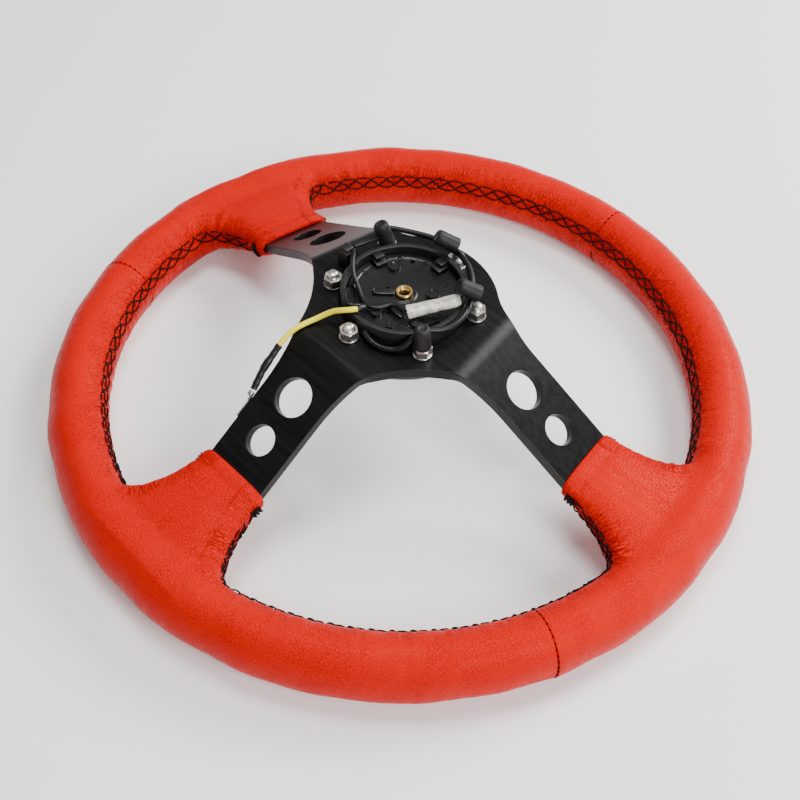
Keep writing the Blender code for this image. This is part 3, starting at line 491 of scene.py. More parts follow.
def disc(radius, distance, angle, low, high, sides=32):
    # A plain round cutter
    profile = [(0.0, low), (radius, low), (radius, high), (0.0, high)]
    return turned("tool", profile, sides, None, False, Matrix.Translation(polar(distance, angle)))


def block(name, lowest, highest, place, material=None, edge=0.0003, segments=2):
    # A box with rounded edges
    centre, size = (Vector(lowest) + Vector(highest)) / 2, Vector(highest) - Vector(lowest)
    bm = bmesh.new()
    whole = place @ Matrix.Translation(centre) @ Matrix.Diagonal((*size, 1.0))
    bmesh.ops.create_cube(bm, size=1.0, matrix=whole)
    if edge:
        bmesh.ops.bevel(
            bm, geom=bm.edges[:], offset=edge, segments=segments, profile=0.5, affect="EDGES")
    return fromBmesh(name, bm, material)


def joined(name, items, material=None, sharp=32.0):
    bm = bmesh.new()
    for item in items:
        bm.from_mesh(item.data)
        bpy.data.objects.remove(item, do_unlink=True)
    return fromBmesh(name, bm, material, sharp)


def smoothRoute(points, spacing):
    # A smooth curve through chosen points, read again at even steps
    points = [Vector(point) for point in points]
    fine = []
    for index in range(len(points) - 1):
        before, here = points[max(index - 1, 0)], points[index]
        there, beyond = points[index + 1], points[min(index + 2, len(points) - 1)]
        reach = (there - here).length / 3.0
        lead, trail = (there - before).normalized() * reach, (beyond - here).normalized() * reach
        piece = interpolate_bezier(here, here + lead, there - trail, there, 24)
        fine += piece if index == 0 else piece[1:]
    return evenPoints(fine, spacing)


def evenPoints(fine, spacing):
    fine = np.array([tuple(point) for point in fine])
    lengths = np.concatenate(([0.0], np.cumsum(np.linalg.norm(np.diff(fine, axis=0), axis=1))))
    count = max(2, round(lengths[-1] / spacing))
    wanted = np.linspace(0.0, lengths[-1], count + 1)
    return np.column_stack([np.interp(wanted, lengths, fine[:, axis]) for axis in range(3)])


def loft(bm, rings, closed=False):
    count = len(rings[0])
    for ring, after in zip(rings, rings[1:] + (rings[:1] if closed else [])):
        for side in range(count):
            beyond = (side + 1) % count
            bm.faces.new((ring[side], after[side], after[beyond], ring[beyond]))
    if not closed:
        bm.faces.new(rings[0])
        bm.faces.new(rings[-1][::-1])


# Sizes of the spoke plate, which the other pieces sit on
plate = {
    "thickness": 0.005,
    "armHalfWidth": 0.0175,
    "slope": math.radians(34.0),
    "fold": 0.0473,
    "foldRadius": 0.015,
    "armEnd": 0.1655,
    "tabBack": rimMiddle + 0.005,
    "lobe": 0.045,
    "lobeFillet": 0.040,
    "crotchFillet": 0.069,
    "holes": ((0.0695, 0.0095), (0.090, 0.0075)),
    "hubHole": 0.0305,
    "boltCircle": 0.035,
    "boltHole": 0.0028,
    "chamfer": 0.00035,
}
boltAngles = [30.0 + 60.0 * number for number in range(6)]


def onArm(degrees, along):
    # The place of something that lies on the sloping face of an arm
    height = hubBack - (along - plate["fold"]) * math.tan(plate["slope"])
    turn = Matrix.Rotation(math.radians(degrees), 4, "Z")
    return turn @ Matrix.Translation((along, 0.0, height)) @ Matrix.Rotation(plate["slope"], 4, "Y")


# Wires: each one's points are listed as (x, y, height above the hub's back)
wires = {
    "horn": (0.0028, [polar(r, a, z) for r, a, z in (
        (0.0402, 157.0, 0.0088), (0.0406, 151.0, 0.0096), (0.0391, 144.5, 0.0100),
        (0.0374, 137.0, 0.0101), (0.0362, 129.0, 0.0101), (0.0355, 120.0, 0.0101),
        (0.0351, 110.0, 0.0101), (0.0347, 99.0, 0.0101), (0.0341, 89.0, 0.0101),
        (0.0333, 78.0, 0.0103), (0.0326, 67.0, 0.0105), (0.0319, 55.0, 0.0106),
        (0.0315, 44.0, 0.0105), (0.0314, 34.0, 0.0104), (0.0318, 24.0, 0.0103),
        (0.0330, 12.0, 0.0100), (0.0333, 0.0, 0.0099), (0.0326, 349.0, 0.0100),
        (0.0310, 338.0, 0.0105), (0.0302, 330.0, 0.0106), (0.0318, 323.0, 0.0084),
        (0.0333, 317.0, 0.0050), (0.0337, 310.0, 0.0027), (0.0338, 302.0, 0.0022),
        (0.0331, 293.0, 0.0024), (0.0321, 286.0, 0.0036), (0.0309, 280.4, 0.0052))]),
    "black": (0.0024, (
        (-0.0323, -0.0029, 0.0107), (-0.0308, -0.0038, 0.0108), (-0.0278, -0.0072, 0.0108),
        (-0.0222, -0.0119, 0.0096), (-0.0156, -0.0150, 0.0080), (-0.0096, -0.0180, 0.0070),
        (-0.0052, -0.0193, 0.0068), (-0.0016, -0.0184, 0.0068), (0.0006, -0.0154, 0.0068),
        (0.0022, -0.0120, 0.0070), (0.0050, -0.0100, 0.0074), (0.0084, -0.0102, 0.0078),
        (0.0112, -0.0103, 0.0081))),
    "yellow": (0.0026, (
        (-0.0030, -0.0270, 0.0109), (-0.0047, -0.0298, 0.0111), (-0.0074, -0.0320, 0.0102),
        (-0.0116, -0.0338, 0.0076), (-0.0150, -0.0366, 0.0046), (-0.0173, -0.0405, 0.0026),
        (-0.0189, -0.0450, 0.0018), (-0.0203, -0.0500, 0.0006), (-0.0211, -0.0548, -0.0018),
        (-0.0212, -0.0590, -0.0045))),
    "loop": (0.0019, (
        (-0.0046, -0.0214, 0.0082), (-0.0054, -0.0238, 0.0092), (-0.0066, -0.0262, 0.0100),
        (-0.0089, -0.0274, 0.0102), (-0.0116, -0.0267, 0.0102), (-0.0140, -0.0245, 0.0101),
        (-0.0164, -0.0216, 0.0092), (-0.0182, -0.0193, 0.0074))),
}
sleeve = {
    "start": Vector((0.0121, -0.0098, hubBack + 0.0083)),
    "end": Vector((0.0252, 0.0114, hubBack + 0.0119)),
    "halfWidth": 0.0036,
    "halfHeight": 0.0023,
    "wall": 0.0007,
}


def wireCurve(name, key, material, spacing=0.0018):
    diameter, points = wires[key]
    route = smoothRoute([(p[0], p[1], p[2] + hubBack) for p in points], spacing)
    curve = bpy.data.curves.new(name, "CURVE")
    curve.dimensions, curve.use_fill_caps = "3D", True
    curve.bevel_depth, curve.bevel_resolution = diameter / 2, 5
    spline = curve.splines.new("POLY")
    spline.points.add(len(route) - 1)
    for place, point in zip(spline.points, route):
        place.co = (*point, 1.0)
    curve.materials.append(material)
    item = linked(name, curve)
    length = float(np.linalg.norm(np.diff(route, axis=0), axis=1).sum())
    return item, route, length, diameter


finishPiece(wireCurve("hornWire", "horn", blackCord)[0], "black_wire", "horn_wire")
finishPiece(wireCurve("loopWire", "loop", blackCord)[0], "black_wire")
blackLead, blackRoute, blackLength, blackDiameter = wireCurve("blackLead", "black", blackCord)
finishPiece(blackLead, "black_wire", "black_lead")
yellowLead, yellowRoute, yellowLength, yellowDiameter = wireCurve(
    "yellowLead", "yellow", yellowCord)
finishPiece(yellowLead, "yellow_wire", "yellow_lead")


def sweptTube(name, line, radii, sides, material, hollow=0.0):
    # A tube along a line, with a radius or a width and height at each point; hollow leaves a wall
    line = [Vector(point) for point in line]
    bm = bmesh.new()
    outer, inner = [], []
    side = None
    for index, point in enumerate(line):
        along = (line[min(index + 1, len(line) - 1)] - line[max(index - 1, 0)]).normalized()
        side = (side or Vector((0, 0, 1)).cross(along)).normalized()
        side = (side - along * side.dot(along)).normalized()
        up = along.cross(side)
        size = radii[index]
        wide, high = size if isinstance(size, tuple) else (size, size)
        turns = [2 * math.pi * step / sides for step in range(sides)]
        for rings, less in ((outer, 0.0), (inner, hollow))[:2 if hollow else 1]:
            across, over = side * (wide - less), up * (high - less)
            corners = [point + across * math.cos(turn) + over * math.sin(turn) for turn in turns]
            rings.append([bm.verts.new(corner) for corner in corners])
    loft(bm, outer + inner[::-1], closed=bool(hollow))
    bmesh.ops.recalc_face_normals(bm, faces=bm.faces[:])
    return fromBmesh(name, bm, material, 50.0)


def makeClearSleeve():
    shares = np.linspace(0.0, 1.0, 22)
    line = [sleeve["start"].lerp(sleeve["end"], share) for share in shares]
    radii = []
    for share in shares:
        flare = 0.10 * math.exp(-(share / 0.10) ** 2)
        waist = 0.07 * math.exp(-((share - 0.60) / 0.07) ** 2)
        closing = math.sqrt(max(0.0, 1.0 - (max(0.0, share - 0.88) / 0.15) ** 2))
        crimp = 0.10 * math.exp(-((share - 0.20) / 0.12) ** 2)
        wide = sleeve["halfWidth"] * (1.0 + flare - waist) * closing
        radii.append((wide, sleeve["halfHeight"] * (1.0 + flare - waist * 1.6 + crimp)))
    return sweptTube("clearSleeve", line, radii, 28, clearVinyl, hollow=sleeve["wall"])


def makeBlade():
    along = (sleeve["end"] - sleeve["start"]).normalized()
    turn = along.to_track_quat("X", "Z").to_matrix().to_4x4()
    place = Matrix.Translation(sleeve["start"]) @ turn
    low, high = (0.0080, -0.0019, -0.0004), (0.0220, 0.0019, 0.0004)
    tongue = block("tongue", low, high, place, None, 0.00015)
    low, high = (0.0030, -0.0015, -0.0010), (0.0085, 0.0015, 0.0010)
    crimp = block("crimp", low, high, place, None, 0.0006, 3)
    return joined("leadTerminal", [tongue, crimp], zinc)


def makeSplice():
    start, end = Vector((-0.0022, -0.0225, hubBack + 0.0096)), Vector(yellowRoute[0])
    line = [start.lerp(end, share) for share in np.linspace(0.0, 1.0, 9)]
    radii = [0.0012, 0.0016, 0.0018, 0.0018, 0.0017, 0.0018, 0.0018, 0.0017, 0.0015]
    line[-1] = end + (end - start).normalized() * 0.0001
    return sweptTube("leadSplice", line, radii, 20, shrinkTube)


def makeShrink():
    # Shrunk over the crimp, with the crimp's shoulder showing halfway
    start = Vector(yellowRoute[-1])
    end = onArm(wheel["spokes"]["bottom"], 0.0770) @ Vector((0.0, -0.0188, 0.0012))
    middle = start.lerp(end, 0.55) + Vector((-0.0007, 0.0, 0.0005))
    line = smoothRoute([start, start.lerp(middle, 0.5), middle, end], 0.0007)
    radii = []
    for share in np.linspace(0.0, 1.0, len(line)):
        swell = math.exp(-((share - 0.45) / 0.10) ** 2) * 0.00035
        radii.append(0.00165 + swell + 0.00008 * math.sin(share * 38.0))
    return sweptTube("heatShrink", line, radii, 20, shrinkTube)


def makeSpade():
    # Lowest and highest corners in the arm's own directions, edge radius, edge steps
    place = onArm(wheel["spokes"]["bottom"], 0.0840)
    shapes = (
        ((-0.0036, -0.0186, -0.0040), (0.0060, -0.0179, -0.0002), 0.00012, 2),
        ((-0.0052, -0.0188, -0.0020), (-0.0030, -0.0178, 0.0006), 0.0003, 2),
        ((-0.0076, -0.0200, -0.0004), (-0.0048, -0.0174, 0.0022), 0.0008, 3))
    pieces = [block("part", low, high, place, None, *edge) for low, high, *edge in shapes]
    return joined("spadeTerminal", pieces, zinc)


clearSleeve = finishPiece(makeClearSleeve(), "clear_vinyl", "clear_sleeve")
blade = finishPiece(makeBlade(), "zinc", "lead_terminal")
splice = finishPiece(makeSplice(), "rubber", "lead_splice")
shrink = finishPiece(makeShrink(), "rubber", "heat_shrink")
spade = finishPiece(makeSpade(), "zinc", "spade_terminal")
print("wires", round(blackLength, 4), round(yellowLength, 4))


# The cover: one smooth skin, from the rim's oval section and the padded end of each spoke
pads = {
    # distance along the spoke, half width, top, bottom
    "stations": (
        (0.096, 0.0197, 0.0390, 0.0285),
        (0.106, 0.0197, 0.0390, 0.0285),
        (0.112, 0.0203, 0.0390, 0.0240),
        (0.120, 0.0215, 0.0383, 0.0185),
        (0.128, 0.0240, 0.0372, 0.0140),
        (0.136, 0.0285, 0.0357, 0.0098),
        (0.143, 0.0345, 0.0340, 0.0068),
        (0.150, 0.0395, 0.0322, 0.0052),
        (0.163, 0.0400, 0.0305, 0.0040),
    ),
    "mouth": 0.106,
    "squareness": 3.0,
    "blend": 0.0055,           # how softly pad and rim flow together
}
skin = {
    "cell": 0.0021,            # of the first mesh, halved once
    "edgeRoll": 0.0018,        # leather turned in at a mouth
    "lips": {10.0: 0.35, 170.0: 1.0, 270.0: 0.5},  # how much each mouth's edge stands up
    "seamRoll": 0.0011,
    "ripple": 0.00042,         # slow waves round the rim
    "pucker": 0.00016,         # between the lacing's stitches
    "wrinkle": 0.00025,        # across the lacing, most at a pad's flare
    "unevenness": 0.00006,
    "swell": (0.00035, 0.0062, 0.0028),  # beside the lacing: height, distance, width
    "slit": (0.00055, 0.00055),          # where two edges meet: depth, width
    "stitchHole": (0.00022, 0.0008),
    "lip": (0.0013, 0.1082, 0.0024),     # height, place along the spoke, width
    "gutter": (0.0006, 0.1135, 0.0014),
    "flare": (0.1405, 0.016),            # where a pad flows into the rim, half its length
    "pulled": (0.009, 0.0100),           # distance where the pull starts to fade, and over what
    "seed": 7,
}
padSpan = (0.099, 0.163)       # where a pad starts and ends along its spoke


def smoothPads():
    # The stations' half width, top and bottom at fine steps, with their corners smoothed out
    stations = np.array(pads["stations"])
    reaches = np.arange(0.090, 0.172, 0.0005)
    window = np.hanning(15)
    columns = []
    for column in (1, 2, 3):
        raw = np.interp(reaches, stations[:, 0], stations[:, column])
        padded = np.pad(raw, len(window) // 2, mode="edge")
        columns.append(np.convolve(padded, window / window.sum(), mode="valid"))
    return reaches, columns


padReaches, padColumns = smoothPads()


def readPad(along):
    # Half width, top and bottom of a pad
    return [np.interp(along, padReaches, column) for column in padColumns]


def turnedPoints(points, degrees):
    c, s = math.cos(math.radians(degrees)), math.sin(math.radians(degrees))
    x, y, z = points.T
    return np.column_stack((x * c - y * s, x * s + y * c, z))


def rimDepth(points):
    outward = (np.hypot(points[:, 0], points[:, 1]) - rimRadius) / wheel["halfWidth"]
    upward = (points[:, 2] - rimMiddle) / wheel["halfHeight"]
    size = np.hypot(outward, upward) + 1e-9
    slope = np.hypot(outward / wheel["halfWidth"], upward / wheel["halfHeight"]) / size + 1e-9
    return (size - 1.0) / slope


def padDepth(points, degrees):
    along, across, up = turnedPoints(points, -degrees).T
    halfWidth, top, low = readPad(along)
    power = pads["squareness"]
    halfHeight = (top - low) / 2
    sideways, upwards = np.abs(across) / halfWidth, np.abs(up - (top + low) / 2) / halfHeight
    total = sideways ** power + upwards ** power + 1e-9
    size = total ** (1 / power)
    slope = np.hypot(sideways ** (power - 1) / halfWidth, upwards ** (power - 1) / halfHeight)
    slope = slope * total ** (1 / power - 1)
    depth = (size - 1.0) / (slope + 1e-6)
    return np.maximum(np.maximum(depth, along - padSpan[1]), padSpan[0] - along)


def skinDepth(points):
    depth = rimDepth(points)
    for degrees in spokeAngles:
        pad = padDepth(points, degrees)
        share = np.clip(0.5 + 0.5 * (pad - depth) / pads["blend"], 0.0, 1.0)
        depth = pad + (depth - pad) * share - pads["blend"] * share * (1.0 - share)
    return depth


def skinSlope(points, step=0.0003):
    sides = []
    for axis in range(3):
        shift = np.zeros(3)
        shift[axis] = step
        sides.append((skinDepth(points + shift) - skinDepth(points - shift)) / (2 * step))
    return np.column_stack(sides)


def ontoSkin(points, rounds=4, limit=0.003):
    points = np.array(points, float)
    for _ in range(rounds):
        slope = skinSlope(points)
        size = (slope ** 2).sum(1, keepdims=True) + 1e-9
        move = slope / size * skinDepth(points)[:, None]
        length = np.linalg.norm(move, axis=1, keepdims=True) + 1e-12
        points -= move * np.minimum(1.0, limit / length)
    return points


def outwardNormals(points):
    slope = skinSlope(points)
    return slope / (np.linalg.norm(slope, axis=1, keepdims=True) + 1e-12)


# The lacing's line: out of one pad's mouth, round the inside of the rim, into the next pad's
lacing = {
    "sectionAngle": 157.5,
    "pitch": 0.0087,
    "halfWidth": 0.0028,
    "thread": 0.00082,
    "padReaches": (            # along the spoke, height
        (0.1085, 0.0318), (0.114, 0.0300), (0.121, 0.0276), (0.128, 0.0256), (0.1345, 0.0246)),
    "turnOff": 19.5,           # degrees from the spoke's middle to the plain part of the rim
    "step": 0.0005,            # between the line's points
    "barPitch": 0.0012,        # of the stitches that close each end
    "barThread": 0.00085,
}


def lacingLine(first, last):
    start, end = [], []
    for reach, level in lacing["padReaches"]:
        halfWidth = float(readPad(np.array([reach]))[0][0])
        start.append(polar(reach, first, level) + polar(halfWidth, first + 90.0))
        end.append(polar(reach, last, level) + polar(halfWidth, last - 90.0))
    turns = np.linspace(first + lacing["turnOff"], last - lacing["turnOff"], 40)
    middle = [rimPoint(turn, math.radians(lacing["sectionAngle"])) for turn in turns]
    rough = smoothRoute(start + middle + end[::-1], 0.0010)
    return evenPoints(ontoSkin(rough, 6), lacing["step"])


gaps = {"right": (270.0, 370.0), "top": (10.0, 170.0), "left": (170.0, 270.0)}
laceLines = {name: lacingLine(*ends) for name, ends in gaps.items()}
laceTree = kdtree.KDTree(sum(len(line) for line in laceLines.values()))
laceFacts = []
for line in laceLines.values():
    lengths = np.concatenate(([0.0], np.cumsum(np.linalg.norm(np.diff(line, axis=0), axis=1))))
    along = np.gradient(line, axis=0)
    along /= np.linalg.norm(along, axis=1, keepdims=True)
    across = np.cross(outwardNormals(line), along)
    for point, length, way, side in zip(line, lengths, along, across):
        laceTree.insert(Vector(point), len(laceFacts))
        laceFacts.append((length, *way, *side))
laceTree.balance()
laceFacts = np.array(laceFacts)
print("lacing lines", [round(len(line) * lacing["step"], 3) for line in laceLines.values()])


def nearLacing(points):
    # For each point: distance along the nearest lacing line, offset across it
    along, across = np.zeros(len(points)), np.ones(len(points))
    for index, point in enumerate(points):
        found, number, distance = laceTree.find(point)
        offset = point - np.array(found)
        ahead = offset @ laceFacts[number, 1:4]
        along[index] = laceFacts[number, 0] + max(-0.0006, min(0.0006, ahead))
        if distance < 0.03:
            across[index] = offset @ laceFacts[number, 4:]
            if distance > 0.012:
                across[index] = math.copysign(distance, across[index])
    return along, across


def softWaves(points, shortest, longest, count, seed):
    # A smooth, uneven swell: a few dozen plane waves in fixed random directions
    rng = np.random.default_rng(seed)
    total = np.zeros(len(points))
    for _ in range(count):
        direction = rng.normal(size=3)
        direction /= np.linalg.norm(direction)
        length = rng.uniform(shortest, longest)
        total += np.sin(points @ direction * (2 * math.pi / length) + rng.uniform(0, 2 * math.pi))
    return total / math.sqrt(count)


def rimSpace(points, degrees):
    # Distance round the rim, outwards and up, as if the rim were straight
    local = turnedPoints(points, -degrees)
    turn = np.arctan2(local[:, 1], local[:, 0]) * rimRadius
    return np.column_stack((turn, np.hypot(points[:, 0], points[:, 1]) - rimRadius, points[:, 2]))


def bell(values, width):
    return np.exp(-(values / width) ** 2)


def dressed(points, degrees):
    # Moves the plain skin's points: ripples, puckers, wrinkles, slit, stitch holes, mouth
    normals = outwardNormals(points)
    along, across = nearLacing(points)
    straight = rimSpace(points, degrees)
    reach = np.hypot(points[:, 0], points[:, 1])
    plainRim = np.clip((reach - 0.132) / 0.02, 0.15, 1.0)
    ripples = softWaves(straight * np.array((1.0, 0.45, 0.45)), 0.019, 0.040, 26, skin["seed"])
    outer = np.clip(0.55 + straight[:, 1] / wheel["halfWidth"] * 0.45, 0.15, 1.0)
    height = skin["ripple"] * ripples * plainRim * outer
    distance = np.abs(across)
    beside = np.exp(-np.maximum(distance - lacing["halfWidth"], 0.0) / 0.0045)
    wave = np.cos(along * (4 * math.pi / lacing["pitch"]) + 0.8 * np.sin(along * 190.0))
    height += skin["pucker"] * wave * beside * np.clip(distance / 0.003, 0.0, 1.0)
    rise, place, width = skin["swell"]
    height += rise * bell(distance - place, width)
    depth, width = skin["slit"]
    height -= depth * bell(distance, width)
    depth, width = skin["stitchHole"]
    height -= depth * bell(distance - lacing["halfWidth"], width) * (0.5 + 0.5 * wave)
    middle, length = skin["flare"]
    flare = np.clip(1.0 - np.abs(reach - middle) / length, 0.0, 1.0)
    start, length = skin["pulled"]
    near = np.clip(1.0 - (distance - start) / length, 0.0, 1.0)
    near = near * near * (3.0 - 2.0 * near)
    pull = np.clip(beside * 0.5 + flare * 0.6 + 0.30, 0.0, 1.0) * near
    fine = softWaves(straight * np.array((1.0, 0.25, 0.25)), 0.0035, 0.0075, 20, skin["seed"] + 1)
    height += skin["unevenness"] * fine
    lacePlace = np.column_stack((along, across, np.zeros(len(points))))
    drawn = softWaves(lacePlace * np.array((1.0, 0.25, 1.0)), 0.0034, 0.0075, 24, skin["seed"] + 3)
    beyondSlit = np.clip((distance - 0.002) / 0.004, 0.0, 1.0)
    height += skin["wrinkle"] * drawn * near * (0.35 + flare) * beyondSlit
    local = turnedPoints(points, -degrees)
    onPad = skin["lips"][degrees] * (np.abs(local[:, 1]) < 0.03)
    for sign, key in ((1.0, "lip"), (-1.0, "gutter")):
        size, place, width = skin[key]
        height += sign * size * onPad * bell(local[:, 0] - place, width)
    moved = points + normals * height[:, None]
    moved[:, 2] = np.maximum(moved[:, 2], 0.0)  # it rests on the floor
    return moved, lacePlace, pull


def rimRings(bm, turns, sides, inset=0.0):
    angles = [2 * math.pi * side / sides for side in range(sides)]
    return [[bm.verts.new(rimPoint(turn, angle, inset)) for angle in angles] for turn in turns]


def padPiece(bm, degrees, points=28):
    rings = []
    turn = Matrix.Rotation(math.radians(degrees), 4, "Z")
    for reach in np.linspace(*padSpan, 22):
        halfWidth, top, low = (float(value[0]) for value in readPad(np.array([reach])))
        ring = []
        for index in range(points):
            angle = 2 * math.pi * (index + 0.5) / points
            c, s = math.cos(angle), math.sin(angle)
            power = 2 / pads["squareness"]
            across = math.copysign(abs(c) ** power, c) * halfWidth
            up = math.copysign(abs(s) ** power, s) * (top - low) / 2
            ring.append(bm.verts.new(turn @ Vector((reach, across, (top + low) / 2 + up))))
        rings.append(ring)
    loft(bm, rings)


def bisected(bm, faces, origin, way, clear=False):
    verts = dict.fromkeys(v for face in faces for v in face.verts)
    edges = dict.fromkeys(e for face in faces for e in face.edges)
    bmesh.ops.bisect_plane(
        bm, geom=[*verts, *edges, *faces], plane_co=origin, plane_no=way, clear_outer=clear,
        dist=1e-7)


def trimAndRoll(bm, origin, outward, roll, depth, nearness):
    # Cuts the skin at a plane, rolls the cut edge inwards and closes it a little way inside
    faces = [face for face in bm.faces if (face.calc_center_median() - origin).length < nearness]
    bisected(bm, faces, origin, outward, clear=True)
    onPlane = {v for v in bm.verts if abs((v.co - origin).dot(outward)) < 1e-5}
    rim = [edge for edge in bm.edges if edge.is_boundary and all(v in onPlane for v in edge.verts)]
    follows = {}
    for edge in rim:
        loop = edge.link_loops[0]
        follows[loop.vert] = loop.link_loop_next.vert
    verts = list(follows)
    slope = outwardNormals(np.array([tuple(v.co) for v in verts]))
    inward = {}
    for vert, normal in zip(verts, slope):
        flat = -(Vector(normal) - outward * Vector(normal).dot(outward))
        inward[vert] = flat.normalized()
    centre = sum((v.co for v in verts), Vector()) / len(verts)
    current = {vert: vert for vert in verts}
    halfRound = ((0.30, 0.08), (0.45, 0.28), (0.50, 0.50), (0.45, 0.72), (0.30, 0.92), (0.0, 1.0))
    for out, within in (*halfRound, (-depth / roll, 1.05)):
        made = {
            v: bm.verts.new(v.co + outward * out * roll + inward[v] * within * roll) for v in verts}
        for a in verts:
            b = follows[a]
            bm.faces.new((current[b], current[a], made[a], made[b]))
        current = made
    order = [verts[0]]
    while follows[order[-1]] is not order[0]:
        order.append(follows[order[-1]])
    middle = bm.verts.new(centre - outward * depth)
    for a, b in zip(order, order[1:] + order[:1]):
        bm.faces.new((current[b], current[a], middle))


def makeCover(name, degrees, first, last):
    bm = bmesh.new()
    loft(bm, rimRings(bm, np.linspace(first - 2.5, last + 2.5, 90), 40))
    padPiece(bm, degrees)
    bmesh.ops.recalc_face_normals(bm, faces=bm.faces[:])
    item = fromBmesh(name, bm)
    remesh = item.modifiers.new("even", "REMESH")
    remesh.mode, remesh.voxel_size = "VOXEL", skin["cell"] * 1.0
    smooth = item.modifiers.new("relax", "SMOOTH")
    smooth.factor, smooth.iterations = 0.5, 6
    baked(item)
    settle(item)
    halve = item.modifiers.new("halve", "SUBSURF")
    halve.levels = halve.render_levels = 1
    baked(item)
    settle(item)
    bm = bmesh.new()
    bm.from_mesh(item.data)
    gap = math.degrees((0.5 * skin["seamRoll"] + 0.00006) / rimRadius)
    for angle, side in ((first + gap, -1.0), (last - gap, 1.0)):
        trimAndRoll(
            bm, polar(rimRadius, angle, rimMiddle), polar(side, angle + 90.0), skin["seamRoll"],
            0.004, 0.030)
    trimAndRoll(
        bm, polar(pads["mouth"], degrees, 0.034), polar(-1.0, degrees), skin["edgeRoll"], 0.006,
        0.028)
    bm.to_mesh(item.data)
    bm.free()
    points = readPoints(item.data)
    moved, lacePlace, pull = dressed(points, degrees)
    # The turned-in edges keep their shape
    below = skinDepth(points) < -0.0004
    moved[below] = points[below]
    writePoints(item.data, moved)
    storeVectors(item.data, "lacePlace", lacePlace)
    storeNumbers(item.data, "pull", pull)
    item.data.materials.clear()
    item.data.materials.append(leather)
    item.data.shade_smooth()
    return item


def readPoints(data):
    points = np.zeros(len(data.vertices) * 3, np.float32)
    data.vertices.foreach_get("co", points)
    return points.reshape(-1, 3).astype(float)


def writePoints(data, points):
    data.vertices.foreach_set("co", points.astype(np.float32).ravel())
    data.update()


def settle(item):
    writePoints(item.data, ontoSkin(readPoints(item.data), 4))


def storeVectors(data, name, values):
    attribute = data.attributes.new(name, "FLOAT_VECTOR", "POINT")
    attribute.data.foreach_set("vector", values.astype(np.float32).ravel())


def storeNumbers(data, name, values):
    attribute = data.attributes.new(name, "FLOAT", "POINT")
    attribute.data.foreach_set("value", values.astype(np.float32))


seams = wheel["seams"]
covers = {
    "right": makeCover("coverRight", 10.0, seams[2] - 360.0, seams[0]),
    "left": makeCover("coverLeft", 170.0, seams[0], seams[1]),
    "bottom": makeCover("coverBottom", 270.0, seams[1], seams[2]),
}
print("cover", [len(item.data.polygons) for item in covers.values()])


# Stitches: strokes drawn flat, carried along a line, laid on the leather and given a round thread
class Tree(Graph):
    def __init__(self, name):
        super().__init__(bpy.data.node_groups.new(name, "GeometryNodeTree"))
        self.sockets = {}
        self.tree.interface.new_socket("Geometry", in_out="INPUT", socket_type="NodeSocketGeometry")
        self.tree.interface.new_socket(
            "Geometry", in_out="OUTPUT", socket_type="NodeSocketGeometry")

    def start(self, inputs):
        for name, (kind, value) in inputs.items():
            socket = self.tree.interface.new_socket(
                name, in_out="INPUT", socket_type="NodeSocket" + kind)
            if value is not None:
                socket.default_value = value
            self.sockets[name] = socket.identifier
        node = self.tree.nodes.new("NodeGroupInput")
        return {socket.name: Value(self, socket) for socket in node.outputs if socket.name}

    def source(self, thing):
        # The geometry of a source object, where its own points say
        settings = {"transform_space": "ORIGINAL"}
        return self.add("GeometryNodeObjectInfo", settings, {"Object": thing}, out="Geometry")

    def end(self, geometry, material):
        real = self.add("GeometryNodeRealizeInstances", None, {0: geometry})
        shown = self.add("GeometryNodeSetMaterial", None, {"Geometry": real, "Material": material})
        self.plug(self.tree.nodes.new("NodeGroupOutput").inputs[0], shown)

    def applied(self, item, values):
        modifier = item.modifiers.new(self.tree.name, "NODES")
        modifier.node_group = self.tree
        for name, value in values.items():
            modifier[self.sockets[name]] = value
        return baked(item)


